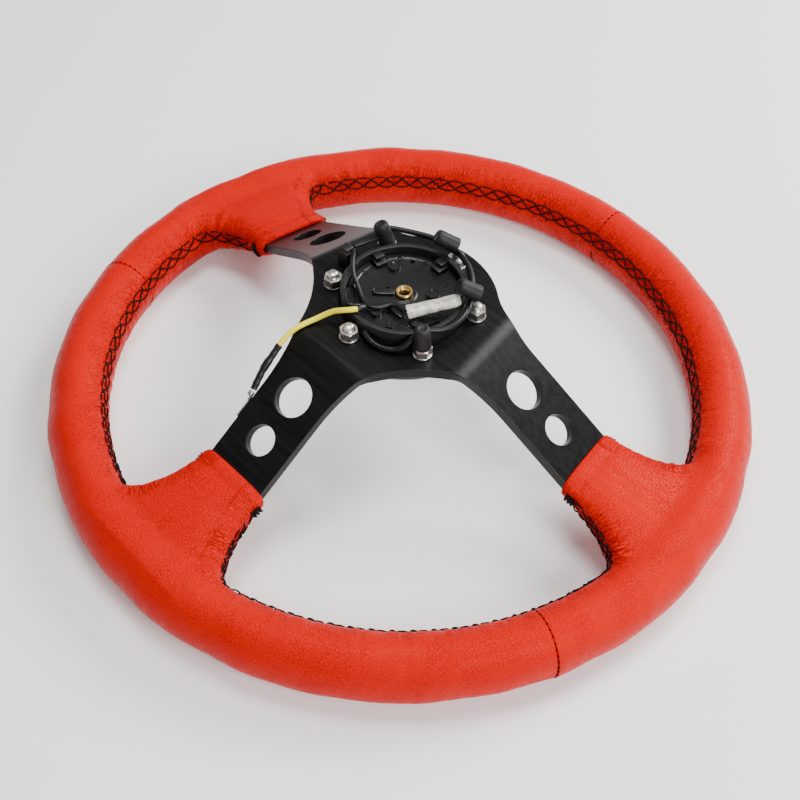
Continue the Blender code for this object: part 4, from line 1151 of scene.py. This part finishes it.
def stitchTree():
    tree = Tree("stitches")
    given = tree.start({
        "Strokes": ("Object", None), "Leather": ("Object", None), "Pitch": ("Float", 0.005),
        "Thread": ("Float", 0.0007), "Finish": ("Material", None)})
    line = tree.add("GeometryNodeResampleCurve", {"mode": "LENGTH"}, {
        "Curve": tree.add("GeometryNodeMeshToCurve", None, {0: given["Geometry"]}),
        "Length": given["Pitch"]})
    tangent = tree.add("GeometryNodeInputTangent")
    hide = tree.source(given["Leather"])

    def sample(place, what):
        return tree.add("GeometryNodeSampleNearestSurface", {"data_type": "FLOAT_VECTOR"}, {
            "Mesh": hide, "Value": what, "Sample Position": place})

    here = tree.add("GeometryNodeInputPosition")
    normal = tree.add("GeometryNodeInputNormal")
    up = sample(here, normal)
    upright = tree.add("FunctionNodeAlignRotationToVector", {"axis": "Z"}, {"Vector": up})
    along = tree.add(
        "FunctionNodeAlignRotationToVector", {"axis": "X", "pivot_axis": "Z"},
        {"Rotation": upright, "Vector": tangent})
    strokes = tree.source(given["Strokes"])
    placed = tree.add(
        "GeometryNodeInstanceOnPoints", None,
        {"Points": line, "Instance": strokes, "Rotation": along})
    real = tree.add("GeometryNodeRealizeInstances", None, {0: placed})
    lift = tree.add("GeometryNodeInputNamedAttribute", {"data_type": "FLOAT"}, {"Name": "lift"})
    raised = tree.add(
        "ShaderNodeVectorMath", {"operation": "SCALE"},
        {0: sample(here, normal), "Scale": lift * given["Thread"]})
    laid = tree.add(
        "ShaderNodeVectorMath", {"operation": "ADD"}, {0: sample(here, here), 1: raised})
    settled = tree.add("GeometryNodeSetPosition", None, {"Geometry": real, "Position": laid})
    curves = tree.add("GeometryNodeMeshToCurve", None, {0: settled})
    circle = tree.add(
        "GeometryNodeCurvePrimitiveCircle", None,
        {"Resolution": 7, "Radius": given["Thread"] * 0.5})
    cords = tree.add(
        "GeometryNodeCurveToMesh", None,
        {"Curve": curves, "Profile Curve": circle, "Fill Caps": True})
    smooth = tree.add("GeometryNodeSetShadeSmooth", None, {"Geometry": cords})
    tree.end(smooth, given["Finish"])
    return tree


def strokeObject(name, strokes):
    # Each stroke is a list of (along, across, lift) points
    points, edges, lifts = [], [], []
    for stroke in strokes:
        first = len(points)
        for x, y, lift in stroke:
            points.append((x, y, 0.0))
            lifts.append(lift)
        edges += [(index, index + 1) for index in range(first, len(points) - 1)]
    data = bpy.data.meshes.new(name)
    data.from_pydata(points, edges, [])
    storeNumbers(data, "lift", np.array(lifts))
    return linked(name, data)


def lineObject(name, points):
    data = bpy.data.meshes.new(name)
    data.from_pydata(
        [tuple(point) for point in points], [(i, i + 1) for i in range(len(points) - 1)], [])
    return linked(name, data)


def laceStrokes():
    # One repeat of the lacing: a run along each edge and two crossing diagonals
    pitch, half = lacing["pitch"], lacing["halfWidth"]
    strokes = []
    for centre, side in ((0.0, 1.0), (0.5, -1.0)):
        run = []
        for share in np.linspace(-1.0, 1.0, 7):
            bow = 1.0 - share * share
            lift = 0.30 + 0.22 * bow - 0.75 * abs(share) ** 6
            run.append(((centre + 0.29 * share) * pitch, side * (half + 0.00025 * bow), lift))
        strokes.append(run)
    for direction in (1.0, -1.0):
        diagonal = []
        for share in np.linspace(0.0, 1.0, 11):
            over = math.cos((share - 0.228) / 0.544 * math.pi) * direction
            ends = abs(2 * share - 1) ** 10
            place = direction * (0.29 + 0.92 * share) * pitch
            diagonal.append((place, half * (1 - 2 * share), 0.62 + 0.36 * over - 1.0 * ends))
        strokes.append(diagonal)
    return strokes


def barStroke(lean, lift):
    # A short stitch straight across, one of those that close the lacing's ends
    stroke = []
    for y in np.linspace(-1, 1, 9):
        stroke.append(
            (lean * y * 0.0004, y * 0.0031, lift + 0.35 * (1 - y * y) - 1.2 * abs(y) ** 8))
    return stroke


stitches = stitchTree()
allLeather = bpy.data.meshes.new("allLeather")
together = bmesh.new()
for item in covers.values():
    together.from_mesh(item.data)
together.to_mesh(allLeather)
together.free()
leatherBase = linked("allLeather", allLeather)
laceCell = strokeObject("laceCell", laceStrokes())
barCell = strokeObject("barCell", [barStroke(1.0, 0.45), barStroke(-1.6, 0.95)])


def stitched(name, line, cell, pitch, size):
    item = lineObject(name, line)
    values = {
        "Strokes": cell, "Leather": leatherBase, "Pitch": pitch, "Thread": size, "Finish": thread}
    return stitches.applied(item, values)


laceInset = round(1.25 * lacing["pitch"] / lacing["step"])
for name, line in laceLines.items():
    runs = [
        stitched("run", line[laceInset:-laceInset], laceCell, lacing["pitch"], lacing["thread"])]
    for end in (line[:8], line[-8:]):
        runs.append(stitched("bar", end, barCell, lacing["barPitch"], lacing["barThread"]))
    lace = joined("lace" + name.capitalize(), runs, thread, 60.0)
    finishPiece(lace, "thread", "lacing_" + name)
print("lacing")


# Thread showing in the seams between two panels
seamThread = {
    "pitch": 0.0030,
    "thread": 0.0006,
    "half": 0.00065,
    "section": (-168.0, 138.0),  # from one side of the lacing round to the other
}
seamStroke = [
    (0.0, y * seamThread["half"], 0.15 + 0.5 * (1 - y * y)) for y in np.linspace(-1, 1, 5)]
seamCell = strokeObject("seamCell", [seamStroke])
seamRuns = []
for angle in seams:
    turns = np.radians(np.linspace(*seamThread["section"], 120))
    line = evenPoints([rimPoint(angle, turn) for turn in turns], lacing["step"])
    seamRuns.append(stitched("seamRun", line, seamCell, seamThread["pitch"], seamThread["thread"]))
seamStitching = joined("seamThread", seamRuns, thread, 60.0)
lowered = readPoints(seamStitching.data)
lowered[:, 2] = np.maximum(lowered[:, 2], 0.0)
writePoints(seamStitching.data, lowered)
finishPiece(seamStitching, "thread")

for name, item in covers.items():
    finishPiece(item, "leather", "leather_" + name)
for item in (leatherBase, laceCell, barCell, seamCell):
    bpy.data.objects.remove(item, do_unlink=True)


# Foam under the leather
def makeFoam():
    bm = bmesh.new()
    loft(bm, rimRings(bm, np.linspace(0.0, 360.0, 181)[:-1], 24, wheel["leather"]), closed=True)
    bmesh.ops.recalc_face_normals(bm, faces=bm.faces[:])
    return fromBmesh("foamRing", bm, foam)


foamRing = makeFoam()
finishPiece(foamRing, "foam", "rim_foam")
print("foam")

# Spoke plate: a flat outline with chamfered edges, folded down along the three arms
def armProfile(facets=14):
    # Distance along the arm, height and lean, through the bend down and the bend back to level
    radius, slope = plate["foldRadius"], plate["slope"]
    bend = radius * math.tan(slope / 2)
    foot = plate["fold"] + (hubBack - plate["tabBack"]) / math.tan(slope)
    down = (plate["fold"] - bend, hubBack - radius, radius, range(facets + 1))
    level = (foot + bend, plate["tabBack"] + radius, -radius, range(facets, -1, -1))
    stations = []
    for along, height, reach, steps in (down, level):
        for step in steps:
            angle = slope * step / facets
            place = along + reach * math.sin(angle), height + reach * math.cos(angle)
            stations.append((*place, angle))
    stations.append((plate["armEnd"] + 0.01, plate["tabBack"], 0.0))
    return stations


armStations = armProfile()


def arcPoints(centre, radius, first, last, steps):
    return [
        centre + polar(radius, first + (last - first) * index / steps)
        for index in range(steps + 1)]


def plateOutline():
    right, left, bottom = (wheel["spokes"][name] for name in ("right", "left", "bottom"))
    half, fillet, lobe = plate["armHalfWidth"], plate["lobeFillet"], plate["lobe"]
    reach = math.sqrt((lobe + fillet) ** 2 - (half + fillet) ** 2)
    swing = math.degrees(math.atan2(half + fillet, reach))

    def corner(degrees, u, v):
        return polar(u, degrees) + polar(v, degrees + 90.0)

    end = plate["armEnd"]
    outline = [corner(right, end, half)]
    outline += arcPoints(
        corner(right, reach, half + fillet), fillet, right - 90.0, right + swing - 180.0, 28)
    outline += arcPoints(Vector(), lobe, right + swing, left - swing, 60)[1:]
    outline += arcPoints(
        corner(left, reach, -half - fillet), fillet, left - swing + 180.0, left + 90.0, 28)[1:]
    outline += [corner(left, end, -half), corner(left, end, half)]
    crotch = plate["crotchFillet"]
    distance = (half + crotch) / math.sin(math.radians(bottom - left) / 2)
    outline += arcPoints(
        polar(distance, (left + bottom) / 2), crotch, left - 90.0, bottom - 270.0, 36)
    outline += [corner(bottom, end, -half), corner(bottom, end, half)]
    outline += arcPoints(
        polar(distance, (bottom + right + 360.0) / 2), crotch, 180.0, 90.0 + right, 36)
    outline.append(corner(right, end, -half))
    return outline


def plateHoles():
    holes = [[polar(plate["hubHole"], 360.0 * i / 120) for i in range(120)]]
    for angle in boltAngles:
        centre = polar(plate["boltCircle"], angle)
        holes.append([centre + polar(plate["boltHole"], 360.0 * i / 24) for i in range(24)])
    squeeze = math.cos(plate["slope"])  # round on the sloping arm, so narrower in plan
    for degrees in spokeAngles:
        turn = Matrix.Rotation(math.radians(degrees), 3, "Z")
        for reach, radius in plate["holes"]:
            ring = [polar(radius, 360.0 * i / 64) for i in range(64)]
            holes.append([turn @ Vector((reach + p.x * squeeze, p.y, 0.0)) for p in ring])
    return holes


def foldedPoint(point):
    # Takes a point of the flat plate, its height measured from the back face, onto the folded one
    best, direction = max(
        (point.x * math.cos(math.radians(d)) + point.y * math.sin(math.radians(d)), d)
        for d in spokeAngles)
    if best <= armStations[0][0]:
        return Vector((point.x, point.y, hubBack + point.z))
    for (u0, z0, a0), (u1, z1, a1) in zip(armStations, armStations[1:]):
        if best <= u1:
            break
    share = min(1.0, (best - u0) / (u1 - u0))
    z, lean = z0 + (z1 - z0) * share, a0 + (a1 - a0) * share
    outward = polar(1.0, direction)
    return Vector((point.x, point.y, z)) + point.z * (
        Vector((0.0, 0.0, math.cos(lean))) + outward * math.sin(lean))


def makePlate():
    curve = bpy.data.curves.new("plateOutline", "CURVE")
    curve.dimensions, curve.fill_mode = "2D", "BOTH"
    curve.bevel_depth = plate["chamfer"]
    curve.bevel_resolution = 1
    curve.extrude = plate["thickness"] / 2 - plate["chamfer"]
    curve.offset = -plate["chamfer"]
    for ring in [plateOutline()] + plateHoles():
        spline = curve.splines.new("POLY")
        spline.points.add(len(ring) - 1)
        for place, point in zip(spline.points, ring):
            place.co = (point.x, point.y, 0.0, 1.0)
        spline.use_cyclic_u = True
    flat = linked("plateOutline", curve)
    bpy.context.view_layer.update()
    graph = bpy.context.evaluated_depsgraph_get()
    data = bpy.data.meshes.new_from_object(flat.evaluated_get(graph))
    bpy.data.objects.remove(flat, do_unlink=True)
    bm = bmesh.new()
    bm.from_mesh(data)
    bmesh.ops.remove_doubles(bm, verts=bm.verts[:], dist=1e-6)
    for degrees in spokeAngles:
        direction = polar(1.0, degrees)
        for u, _, _ in armStations[:-1]:
            nearby = [
                face for face in bm.faces if any(v.co.dot(direction) > 0.03 for v in face.verts)]
            bisected(bm, nearby, direction * u, direction)
    half = plate["thickness"] / 2
    # The chamfer faces take the second, lighter finish: a painted highlight line along the edges,
    # with bare metal
    flatTop = {
        face for face in bm.faces if abs(face.normal.z) > 0.999 or abs(face.normal.z) < 0.001}
    for face in bm.faces:
        face.material_index = 0 if face in flatTop else 1
    for vert in bm.verts:
        vert.co = foldedPoint(Vector((vert.co.x, vert.co.y, vert.co.z - half)))
    item = fromBmesh("spokePlate", bm, anodised, 18.0)
    item.data.materials.append(bareEdgeAndHighlight)
    return item


spokePlate = makePlate()
finishPiece(spokePlate, "anodised_plate", "spoke_plate")
print("plate", len(spokePlate.data.polygons))


# Horn unit: collar, body, button, contacts
horn = {
    "sleeveOuter": 0.030, "sleeveInner": 0.0273, "sleeveTop": hubBack + 0.009, "flange": 0.0012,
    "bodyRadius": 0.0268, "bodyBack": hubBack + 0.005, "bodyWall": 0.0025,
    "capRadius": 0.0222, "capFlange": 0.0240, "capFront": hubBack - 0.0172, "capFloor": 0.0042,
    "trimRadius": 0.0420, "trimInner": 0.0309, "trimThick": 0.0048,
    "insertTop": hubBack + 0.0066, "insertBore": 0.0025, "insertPitch": 0.0010,
    "clips": (
        ("snapClipUpperLeft", "snap_clip_upper_left", 166.0),
        ("snapClipTop", "snap_clip_top", 92.0)),
    "stripAngle": 224.0,
}
plateFront = hubBack - plate["thickness"]
fixings = {
    "tip": hubBack + 0.0085, "shank": 0.0025, "threadPitch": 0.0008,
    "headRadius": 0.0038, "headDepth": 0.0028, "keyRadius": 0.0018,
    "washerRadius": 0.0046, "washerThick": 0.0010,
    "nutFlats": 0.0040, "nutThick": 0.0040, "nutBore": 0.0028, "nutTaper": 0.0007, "nutTurn": 17.0,
}


def makeTrimRing():
    back = plateFront - horn["flange"] - 2 * play
    front = back - horn["trimThick"]
    inner, outer, spare = horn["trimInner"], horn["trimRadius"], 0.01
    profile = [
        (inner, back), (inner, front), (outer - 0.0024, front), (outer - 0.0004, front + 0.0028),
        (outer, back)]
    ring = turned("trimRing", rounded(profile, 0.0004), 128, turnedBlack)
    tools = []
    for angle in boltAngles:
        start = plate["boltCircle"], angle, front - spare
        tools.append(
            disc(fixings["headRadius"] + play, *start, front + fixings["headDepth"] + play))
        tools.append(disc(plate["boltHole"], *start, back + spare, 24))
    return cut(ring, tools)


def makeSleeve():
    top, low = plateFront - play, plateFront - play - horn["flange"]
    inner, outer = horn["sleeveInner"], horn["sleeveOuter"]
    profile = [
        (inner, low), (horn["trimRadius"] - 0.001, low), (horn["trimRadius"] - 0.001, top),
        (outer, top)]
    profile += [(outer, horn["sleeveTop"]), (inner, horn["sleeveTop"])]
    return turned("hornSleeve", rounded(profile, 0.0007), 144, plastic)


# The body's relief. Bosses and marks of ejector pins: distance from the axis, angle, radius, height
bodyMarks = {
    "bosses": (
        (0.0180, 151.0, 0.0030, 0.0011), (0.0135, 44.0, 0.0032, 0.0009),
        (0.0186, 272.0, 0.0026, 0.0014), (0.0212, 331.0, 0.0020, 0.0012),
        (0.0226, 300.0, 0.0018, 0.0014)),
    "pins": (
        (0.0228, 190.8, 0.0013), (0.0228, 141.3, 0.0014), (0.0226, 110.1, 0.0013),
        (0.0104, 97.1, 0.0015), (0.0206, 62.7, 0.0014), (0.0183, 357.0, 0.0014),
        (0.0203, 9.5, 0.0013), (0.0193, 319.1, 0.0014)),
    "holes": ((0.0219, 126.0, 0.0011), (0.0086, 202.1, 0.0008), (0.0196, 30.0, 0.0010)),
    "notches": ((166.0, 0.0042), (92.0, 0.0042), (232.0, 0.0070), (345.0, 0.0060)),
    "recess": ((0.0019, -0.0153), (0.0106, -0.0128)),
}


def makeHornBody():
    mouth, back = hubBack - 0.012, horn["bodyBack"]
    lipBack = plateFront - horn["flange"] - 3 * play
    inner, wall = horn["capFlange"] + 0.0004, horn["bodyWall"]
    profile = [
        (horn["capRadius"] + 0.0004, mouth), (0.0304, mouth), (0.0304, lipBack),
        (horn["bodyRadius"], lipBack)]
    profile += [
        (horn["bodyRadius"], back), (0.0240, back), (0.0236, back - 0.0004),
        (0.0062, back - 0.0004), (0.0058, back), (0.0043, back)]
    profile += [
        (0.0043, back - wall), (inner, back - wall), (inner, mouth + 0.0017),
        (horn["capRadius"] + 0.0004, mouth + 0.0017)]
    body = turned("hornBody", rounded(profile, 0.0003), 144, gloss)
    tools = []
    for distance, angle, radius in bodyMarks["pins"]:
        place = Matrix.Translation(polar(distance, angle))
        ring = [
            (radius - 0.0004, back - 0.0006), (radius, back - 0.0006),
            (radius + 0.0002, back + 0.002), (radius - 0.0006, back + 0.002)]
        tools.append(turned("ejector", ring, 28, None, True, place))
    for distance, angle, radius in bodyMarks["holes"]:
        tools.append(disc(radius, distance, angle, back - 0.002, back + 0.004, 20))
    for angle, half in bodyMarks["notches"]:
        place = Matrix.Rotation(math.radians(angle), 4, "Z")
        tools.append(
            block(
                "notch", (0.0228, -half, back - 0.0018), (0.0300, half, back + 0.004), place, None,
                0.0003, 1))
    (left, near), (right, far) = bodyMarks["recess"]
    tools.append(
        block(
            "recess", (left, near, back - 0.0016), (right, far, back + 0.004), Matrix.Identity(4),
            None, 0.0003, 1))
    cut(body, tools)
    raised = [
        block(
            "tab", (left - 0.0012, far + 0.0002, back - 0.0008),
            (right + 0.0004, far + 0.0012, back + 0.0012), Matrix.Identity(4))]
    for distance, angle, radius, height in bodyMarks["bosses"]:
        place = Matrix.Translation(polar(distance, angle))
        low, top = back - 0.0008, back + height
        profile = [
            (0.0, low), (radius, low), (radius, top), (radius - 0.0007, top),
            (radius - 0.0010, top - 0.0004), (0.0, top - 0.0004)]
        raised.append(turned("boss", profile, 32, None, False, place))
    return joined("hornBody", [body] + raised, gloss)


def makeHornCap():
    front, back = horn["capFront"], hubBack - 0.0085
    outer, flange = horn["capRadius"], horn["capFlange"]
    profile = [
        (0.0, front), (0.0060, front + 0.0001), (0.0120, front + 0.0004), (0.0165, front + 0.0008),
        (0.0185, front + 0.0012)]
    profile += [
        (0.0202, front + 0.0018), (0.0212, front + 0.0027), (0.0219, front + 0.0036),
        (outer, front + 0.0047)]
    profile += [(outer, back - 0.0015), (flange, back - 0.0015), (flange, back)]
    profile += [
        (0.0200, back), (0.0200, front + horn["capFloor"]),
        (0.0, front + horn["capFloor"] - 0.0010)]
    return turned("hornCap", profile, 144, plastic, False)


def makeMovingContact():
    top, base = hubBack - 0.0043, horn["capFront"] + horn["capFloor"] - 0.0010 + 2 * play
    profile = [
        (0.0, base), (0.0030, base), (0.0030, top - 0.001), (0.0080, top - 0.001), (0.0080, top),
        (0.0, top)]
    return turned("movingContact", rounded(profile, 0.0002, False), 64, darkBrassAndBoreShade, False)


def makeInsert():
    low, rimLow, top = hubBack - 0.0020, horn["bodyBack"] + play, horn["insertTop"]
    crest, pitch = horn["insertBore"], horn["insertPitch"]
    bore = []
    for turn in range(9):  # the thread's crests and roots down the bore
        height = top - pitch - turn * pitch
        bore += [(crest, height), (crest + 0.0003, height - pitch / 2)]
    profile = [
        (crest, low), (0.0038, low), (0.0038, rimLow), (0.0041, rimLow), (0.0041, top - 0.0004),
        (0.0038, top), (0.0031, top)]
    profile += [point for point in bore if point[1] > low + 0.0003]
    insert = turned("contactInsert", profile, 64, brass)
    insert.data.materials.append(darkBrassAndBoreShade)
    for face in insert.data.polygons:  # painted shade down the bore: these faces take the darker brass
        if face.center.xy.length < crest + 0.0005 and face.center.z < top - 0.0018:
            face.material_index = 1
    return insert


finishPiece(makeTrimRing(), "anodised_plate", "trim_ring")
finishPiece(makeSleeve(), "plastic", "horn_sleeve")
finishPiece(makeHornBody(), "plastic", "horn_body")
finishPiece(makeHornCap(), "plastic", "horn_cap", body="horn_button")
finishPiece(makeMovingContact(), "brass", "moving_contact", body="horn_button")
finishPiece(makeInsert(), "brass", "contact_insert")


def makeClips():
    for name, node, angle in horn["clips"]:
        place = Matrix.Rotation(math.radians(angle), 4, "Z")
        low = horn["bodyBack"] + play
        foot = block("foot", (0.0206, -0.0031, low), (0.0268, 0.0031, low + 0.0012), place)
        post = block("post", (0.0246, -0.0024, low + 0.0008), (0.0267, 0.0024, low + 0.0036), place)
        hook = block("hook", (0.0228, -0.0024, low + 0.0026), (0.0258, 0.0024, low + 0.0037), place)
        finishPiece(joined(name, [foot, post, hook], plastic), "plastic", node)


def makeContactStrip():
    low = horn["bodyBack"] + play
    place = Matrix.Rotation(math.radians(horn["stripAngle"]), 4, "Z")
    flat = block(
        "flat", (0.0046, -0.0018, low), (0.0150, 0.0018, low + 0.0006), place, None, 0.0002)
    end = block(
        "end", (0.0140, -0.0018, low + 0.0002), (0.0148, 0.0018, low + 0.0024), place, None, 0.0002)
    return joined("contactStrip", [flat, end], gloss)


makeClips()
finishPiece(makeContactStrip(), "spring_steel", "contact_strip")
print("horn")


# Fixings: one tree sets copies of a source shape round the bolt circle
def ringTree():
    tree = Tree("boltRing")
    given = tree.start({
        "Shape": ("Object", None), "Count": ("Int", 6), "Radius": ("Float", 0.035),
        "First Angle": ("Float", 0.0), "Extra Turn": ("Float", 0.0), "Finish": ("Material", None)})
    number = tree.add("GeometryNodeInputIndex")
    circle = tree.add(
        "GeometryNodeMeshLine", {"mode": "OFFSET"},
        {"Count": given["Count"], "Offset": (0.0, 0.0, 0.0)})
    angle = given["First Angle"] + number * (2 * math.pi) / given["Count"]
    place = tree.add(
        "ShaderNodeCombineXYZ", None,
        {0: given["Radius"] * angle.math("COSINE"), 1: given["Radius"] * angle.math("SINE")})
    points = tree.add("GeometryNodeSetPosition", None, {"Geometry": circle, "Position": place})
    shape = tree.source(given["Shape"])
    turn = tree.add("ShaderNodeCombineXYZ", None, {2: given["Extra Turn"] * (number + 1.0)})
    placed = tree.add("GeometryNodeInstanceOnPoints", None, {
        "Points": points, "Instance": shape,
        "Rotation": tree.add("FunctionNodeEulerToRotation", None, {0: turn})})
    tree.end(placed, given["Finish"])
    return tree


boltRing = ringTree()


def nutShape():
    low = hubBack + fixings["washerThick"] + 2 * play
    high = low + fixings["nutThick"]
    corner = fixings["nutFlats"] / math.cos(math.radians(30.0))
    hexagon = turned(
        "nutShape", [(0.0, low), (corner, low), (corner, high), (0.0, high)], 6, zinc, False)
    flats, taper = fixings["nutFlats"], fixings["nutTaper"]
    lower = [(0.0, low - 0.001), (flats + 0.0001, low - 0.0003), (corner + 0.0003, low + taper)]
    upper = [(corner + 0.0003, high - taper), (flats - 0.0001, high + 0.0002), (0.0, high + 0.001)]
    cut(hexagon, [turned("cone", lower + upper, 48, None, False)], "INTERSECT")
    bore = disc(fixings["nutBore"], 0.0, 0.0, low - 0.002, high + 0.002)
    profile = [
        (0.0, high - 0.0008), (0.0026, high - 0.0005), (0.0034, high + 0.0003),
        (0.0, high + 0.0003)]
    return cut(hexagon, [bore, turned("sink", profile, 32, None, False)])


def washerShape():
    low, high = hubBack + play, hubBack + play + fixings["washerThick"]
    inner, outer = plate["boltHole"], fixings["washerRadius"]
    profile = rounded([(inner, low), (outer, low), (outer, high), (inner, high)], 0.00025)
    return turned("washerShape", profile, 48, zinc)


def screwShape():
    front = plateFront - horn["flange"] - horn["trimThick"] - 2 * play
    headBack, radius, tip = front + fixings["headDepth"], fixings["headRadius"], fixings["tip"]
    shank, key = fixings["shank"], fixings["keyRadius"]
    profile = [
        (0.0, front + 0.0018), (key, front + 0.0018), (key, front + 0.0002), (key + 0.0002, front)]
    profile += [
        (radius - 0.0003, front), (radius, front + 0.0003), (radius, headBack), (shank, headBack)]
    height = hubBack - 0.001
    while height < tip - 0.0016:  # the thread, as crests and roots
        profile += [(shank - 0.0003, height), (shank, height + fixings["threadPitch"] / 2)]
        height += fixings["threadPitch"]
    profile += [
        (shank - 0.0001, tip - 0.0009), (shank - 0.0004, tip - 0.0004),
        (shank - 0.0010, tip - 0.0001), (0.0, tip)]
    return turned("screwShape", profile, 40, zinc, False, None, 25.0)


def ringOf(name, shape, finish, nodes, extraTurn=0.0):
    item = lineObject(name, [(0, 0, 0), (0, 0, 0.001)])
    boltRing.applied(item, {
        "Shape": shape, "Count": len(boltAngles), "Radius": plate["boltCircle"],
        "First Angle": math.radians(boltAngles[0]), "Extra Turn": math.radians(extraTurn),
        "Finish": finish})
    item.data.shade_smooth()
    item.data.set_sharp_from_angle(angle=math.radians(28.0))
    bpy.data.objects.remove(shape, do_unlink=True)
    return finishPiece(item, "zinc", *["%s_%d" % (nodes, number) for number in range(1, 7)])


ringOf("hubNuts", nutShape(), zinc, "hub_nut", fixings["nutTurn"])
ringOf("hubWashers", washerShape(), zinc, "hub_washer")
ringOf("hubScrews", screwShape(), zinc, "hub_screw")
print("fixings")

# Rubber caps on four of the screws
caps = {
    "length": 0.0115, "outer": 0.0040,
    "places": {
        "UpperLeft": ("upper_left", polar(0.035, 150.0, hubBack + 0.0060), (-0.26, -0.20, 1.0)),
        "LowerRight": ("lower_right", polar(0.035, 330.0, hubBack + 0.0060), (-0.03, -0.03, 1.0)),
        "Top": ("top", Vector((-0.0003, 0.0343, hubBack + 0.0132)), (-0.62, -0.59, 0.51)),
        "Right": ("right", Vector((0.0300, 0.0184, hubBack + 0.0143)), (-0.59, -0.63, 0.51)),
    },
}


def makeCaps():
    length, outer = caps["length"], caps["outer"]
    for name, (node, foot, direction) in caps["places"].items():
        lean = Vector(direction).to_track_quat("Z", "Y").to_matrix().to_4x4()
        profile = [
            (0.0, 0.0040), (0.0029, 0.0040), (0.0029, 0.0002), (0.0030, 0.0), (outer, 0.0),
            (outer + 0.0001, 0.0004)]
        profile += [(outer, 0.0010), (outer - 0.0001, 0.0030), (outer - 0.0002, 0.0065)]
        profile += [
            (outer - 0.0003, length - 0.0012), (outer - 0.0007, length - 0.0005),
            (outer - 0.0013, length - 0.0001)]
        profile += [
            (outer - 0.0018, length), (outer - 0.0020, length - 0.0002), (0.0, length - 0.0003)]
        item = turned(
            "screwCap" + name, profile, 48, rubber, False, Matrix.Translation(foot) @ lean, 45.0)
        finishPiece(item, "rubber", "screw_cap_" + node)


def makeConnector():
    place = Matrix.Rotation(math.radians(185.0), 4, "Z") @ Matrix.Translation((0.0366, 0.0, 0.0))
    base = block(
        "base", (-0.0032, -0.0030, hubBack + play), (0.0032, 0.0030, hubBack + 0.0098), place,
        None, 0.0004)
    head = block(
        "head", (-0.0027, -0.0026, hubBack + 0.0090), (0.0028, 0.0026, hubBack + 0.0114), place,
        None, 0.0008, 3)
    rib = block(
        "rib", (-0.0034, -0.0012, hubBack + 0.0010), (0.0034, 0.0012, hubBack + 0.0086), place,
        None, 0.0003)
    finishPiece(joined("wireConnector", [base, head, rib], plastic), "plastic", "wire_connector")
    start, end = polar(0.0352, 178.8), polar(0.0345, 157.6)
    along = end - start
    place = Matrix.Translation(
        start
        + Vector((0, 0, hubBack + 0.0094))) @ along.to_track_quat("X", "Z").to_matrix().to_4x4()
    bar = block(
        "bar", (-0.0006, -0.0012, 0.0), (along.length, 0.0012, 0.0016), place, None, 0.0005, 3)
    finishPiece(joined("terminalBridge", [bar], plastic), "plastic", "terminal_bridge")


makeCaps()
makeConnector()

# Return springs under the button
springs = {
    "circle": 0.0145, "angles": (30.0, 150.0, 270.0), "travel": 0.002,
    "radius": 0.0030, "wire": 0.0004, "turns": 4.5,
}


def springTree():
    tree = Tree("springs")
    given = tree.start({
        "Turns": ("Float", 4.5), "Coil Radius": ("Float", 0.003), "Height": ("Float", 0.014),
        "Wire Radius": ("Float", 0.0004), "Finish": ("Material", None)})
    spiral = tree.add("GeometryNodeCurveSpiral", None, {
        "Resolution": 28, "Rotations": given["Turns"], "Start Radius": given["Coil Radius"],
        "End Radius": given["Coil Radius"], "Height": given["Height"]})
    circle = tree.add(
        "GeometryNodeCurvePrimitiveCircle", None,
        {"Resolution": 10, "Radius": given["Wire Radius"]})
    coil = tree.add(
        "GeometryNodeCurveToMesh", None,
        {"Curve": spiral, "Profile Curve": circle, "Fill Caps": True})
    tree.end(tree.add("GeometryNodeSetShadeSmooth", None, {"Geometry": coil}), given["Finish"])
    return tree


springCoil = springTree()
springLow = horn["capFront"] + horn["capFloor"] + play + springs["wire"]
springHigh = horn["bodyBack"] - horn["bodyWall"] - play - springs["wire"]
springHeight = springHigh - springLow
pressed = (springHeight - springs["travel"]) / springHeight
for number, angle in enumerate(springs["angles"], 1):
    item = lineObject("returnSpring%d" % number, [(0, 0, 0), (0, 0, 0.001)])
    springCoil.applied(item, {
        "Turns": springs["turns"], "Coil Radius": springs["radius"], "Height": springHeight,
        "Wire Radius": springs["wire"], "Finish": steel})
    item.data.transform(Matrix.Translation(polar(springs["circle"], angle, springLow)))
    finishPiece(item, "spring_steel", "return_spring_%d" % number)
    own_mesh(item)

# The core strip and its rivets keep their solids' shapes, with a better finish
for name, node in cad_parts.items():
    if name == "rim_core" or name.startswith("core_rivet"):
        node.data.materials.clear()
        node.data.materials.append(aluminium)
print("springs and core")


def makeStudio():
    bm = bmesh.new()
    bmesh.ops.create_grid(bm, x_segments=1, y_segments=1, size=6.0)
    floor = fromBmesh("studioFloor", bm, makeFloorFinish())
    floor.data.transform(Matrix.Translation((0.0, 0.0, -0.0002)))
    world = bpy.data.worlds.new("studio")
    world.use_nodes = True
    background = world.node_tree.nodes["Background"]
    background.inputs["Color"].default_value = (1.0, 1.0, 1.0, 1.0)
    background.inputs["Strength"].default_value = studio["world"]
    bpy.context.scene.world = world
    for name, place, size, power, colour in studio["lamps"]:
        data = bpy.data.lights.new(name, "AREA")
        data.shape, data.size, data.energy, data.color = "DISK", size, power, colour
        item = linked(name, data)
        item.location = place
        item.rotation_euler = (
            Vector((0, 0, 0.02)) - Vector(place)).to_track_quat("-Z", "Y").to_euler()


makeStudio()
print("studio")
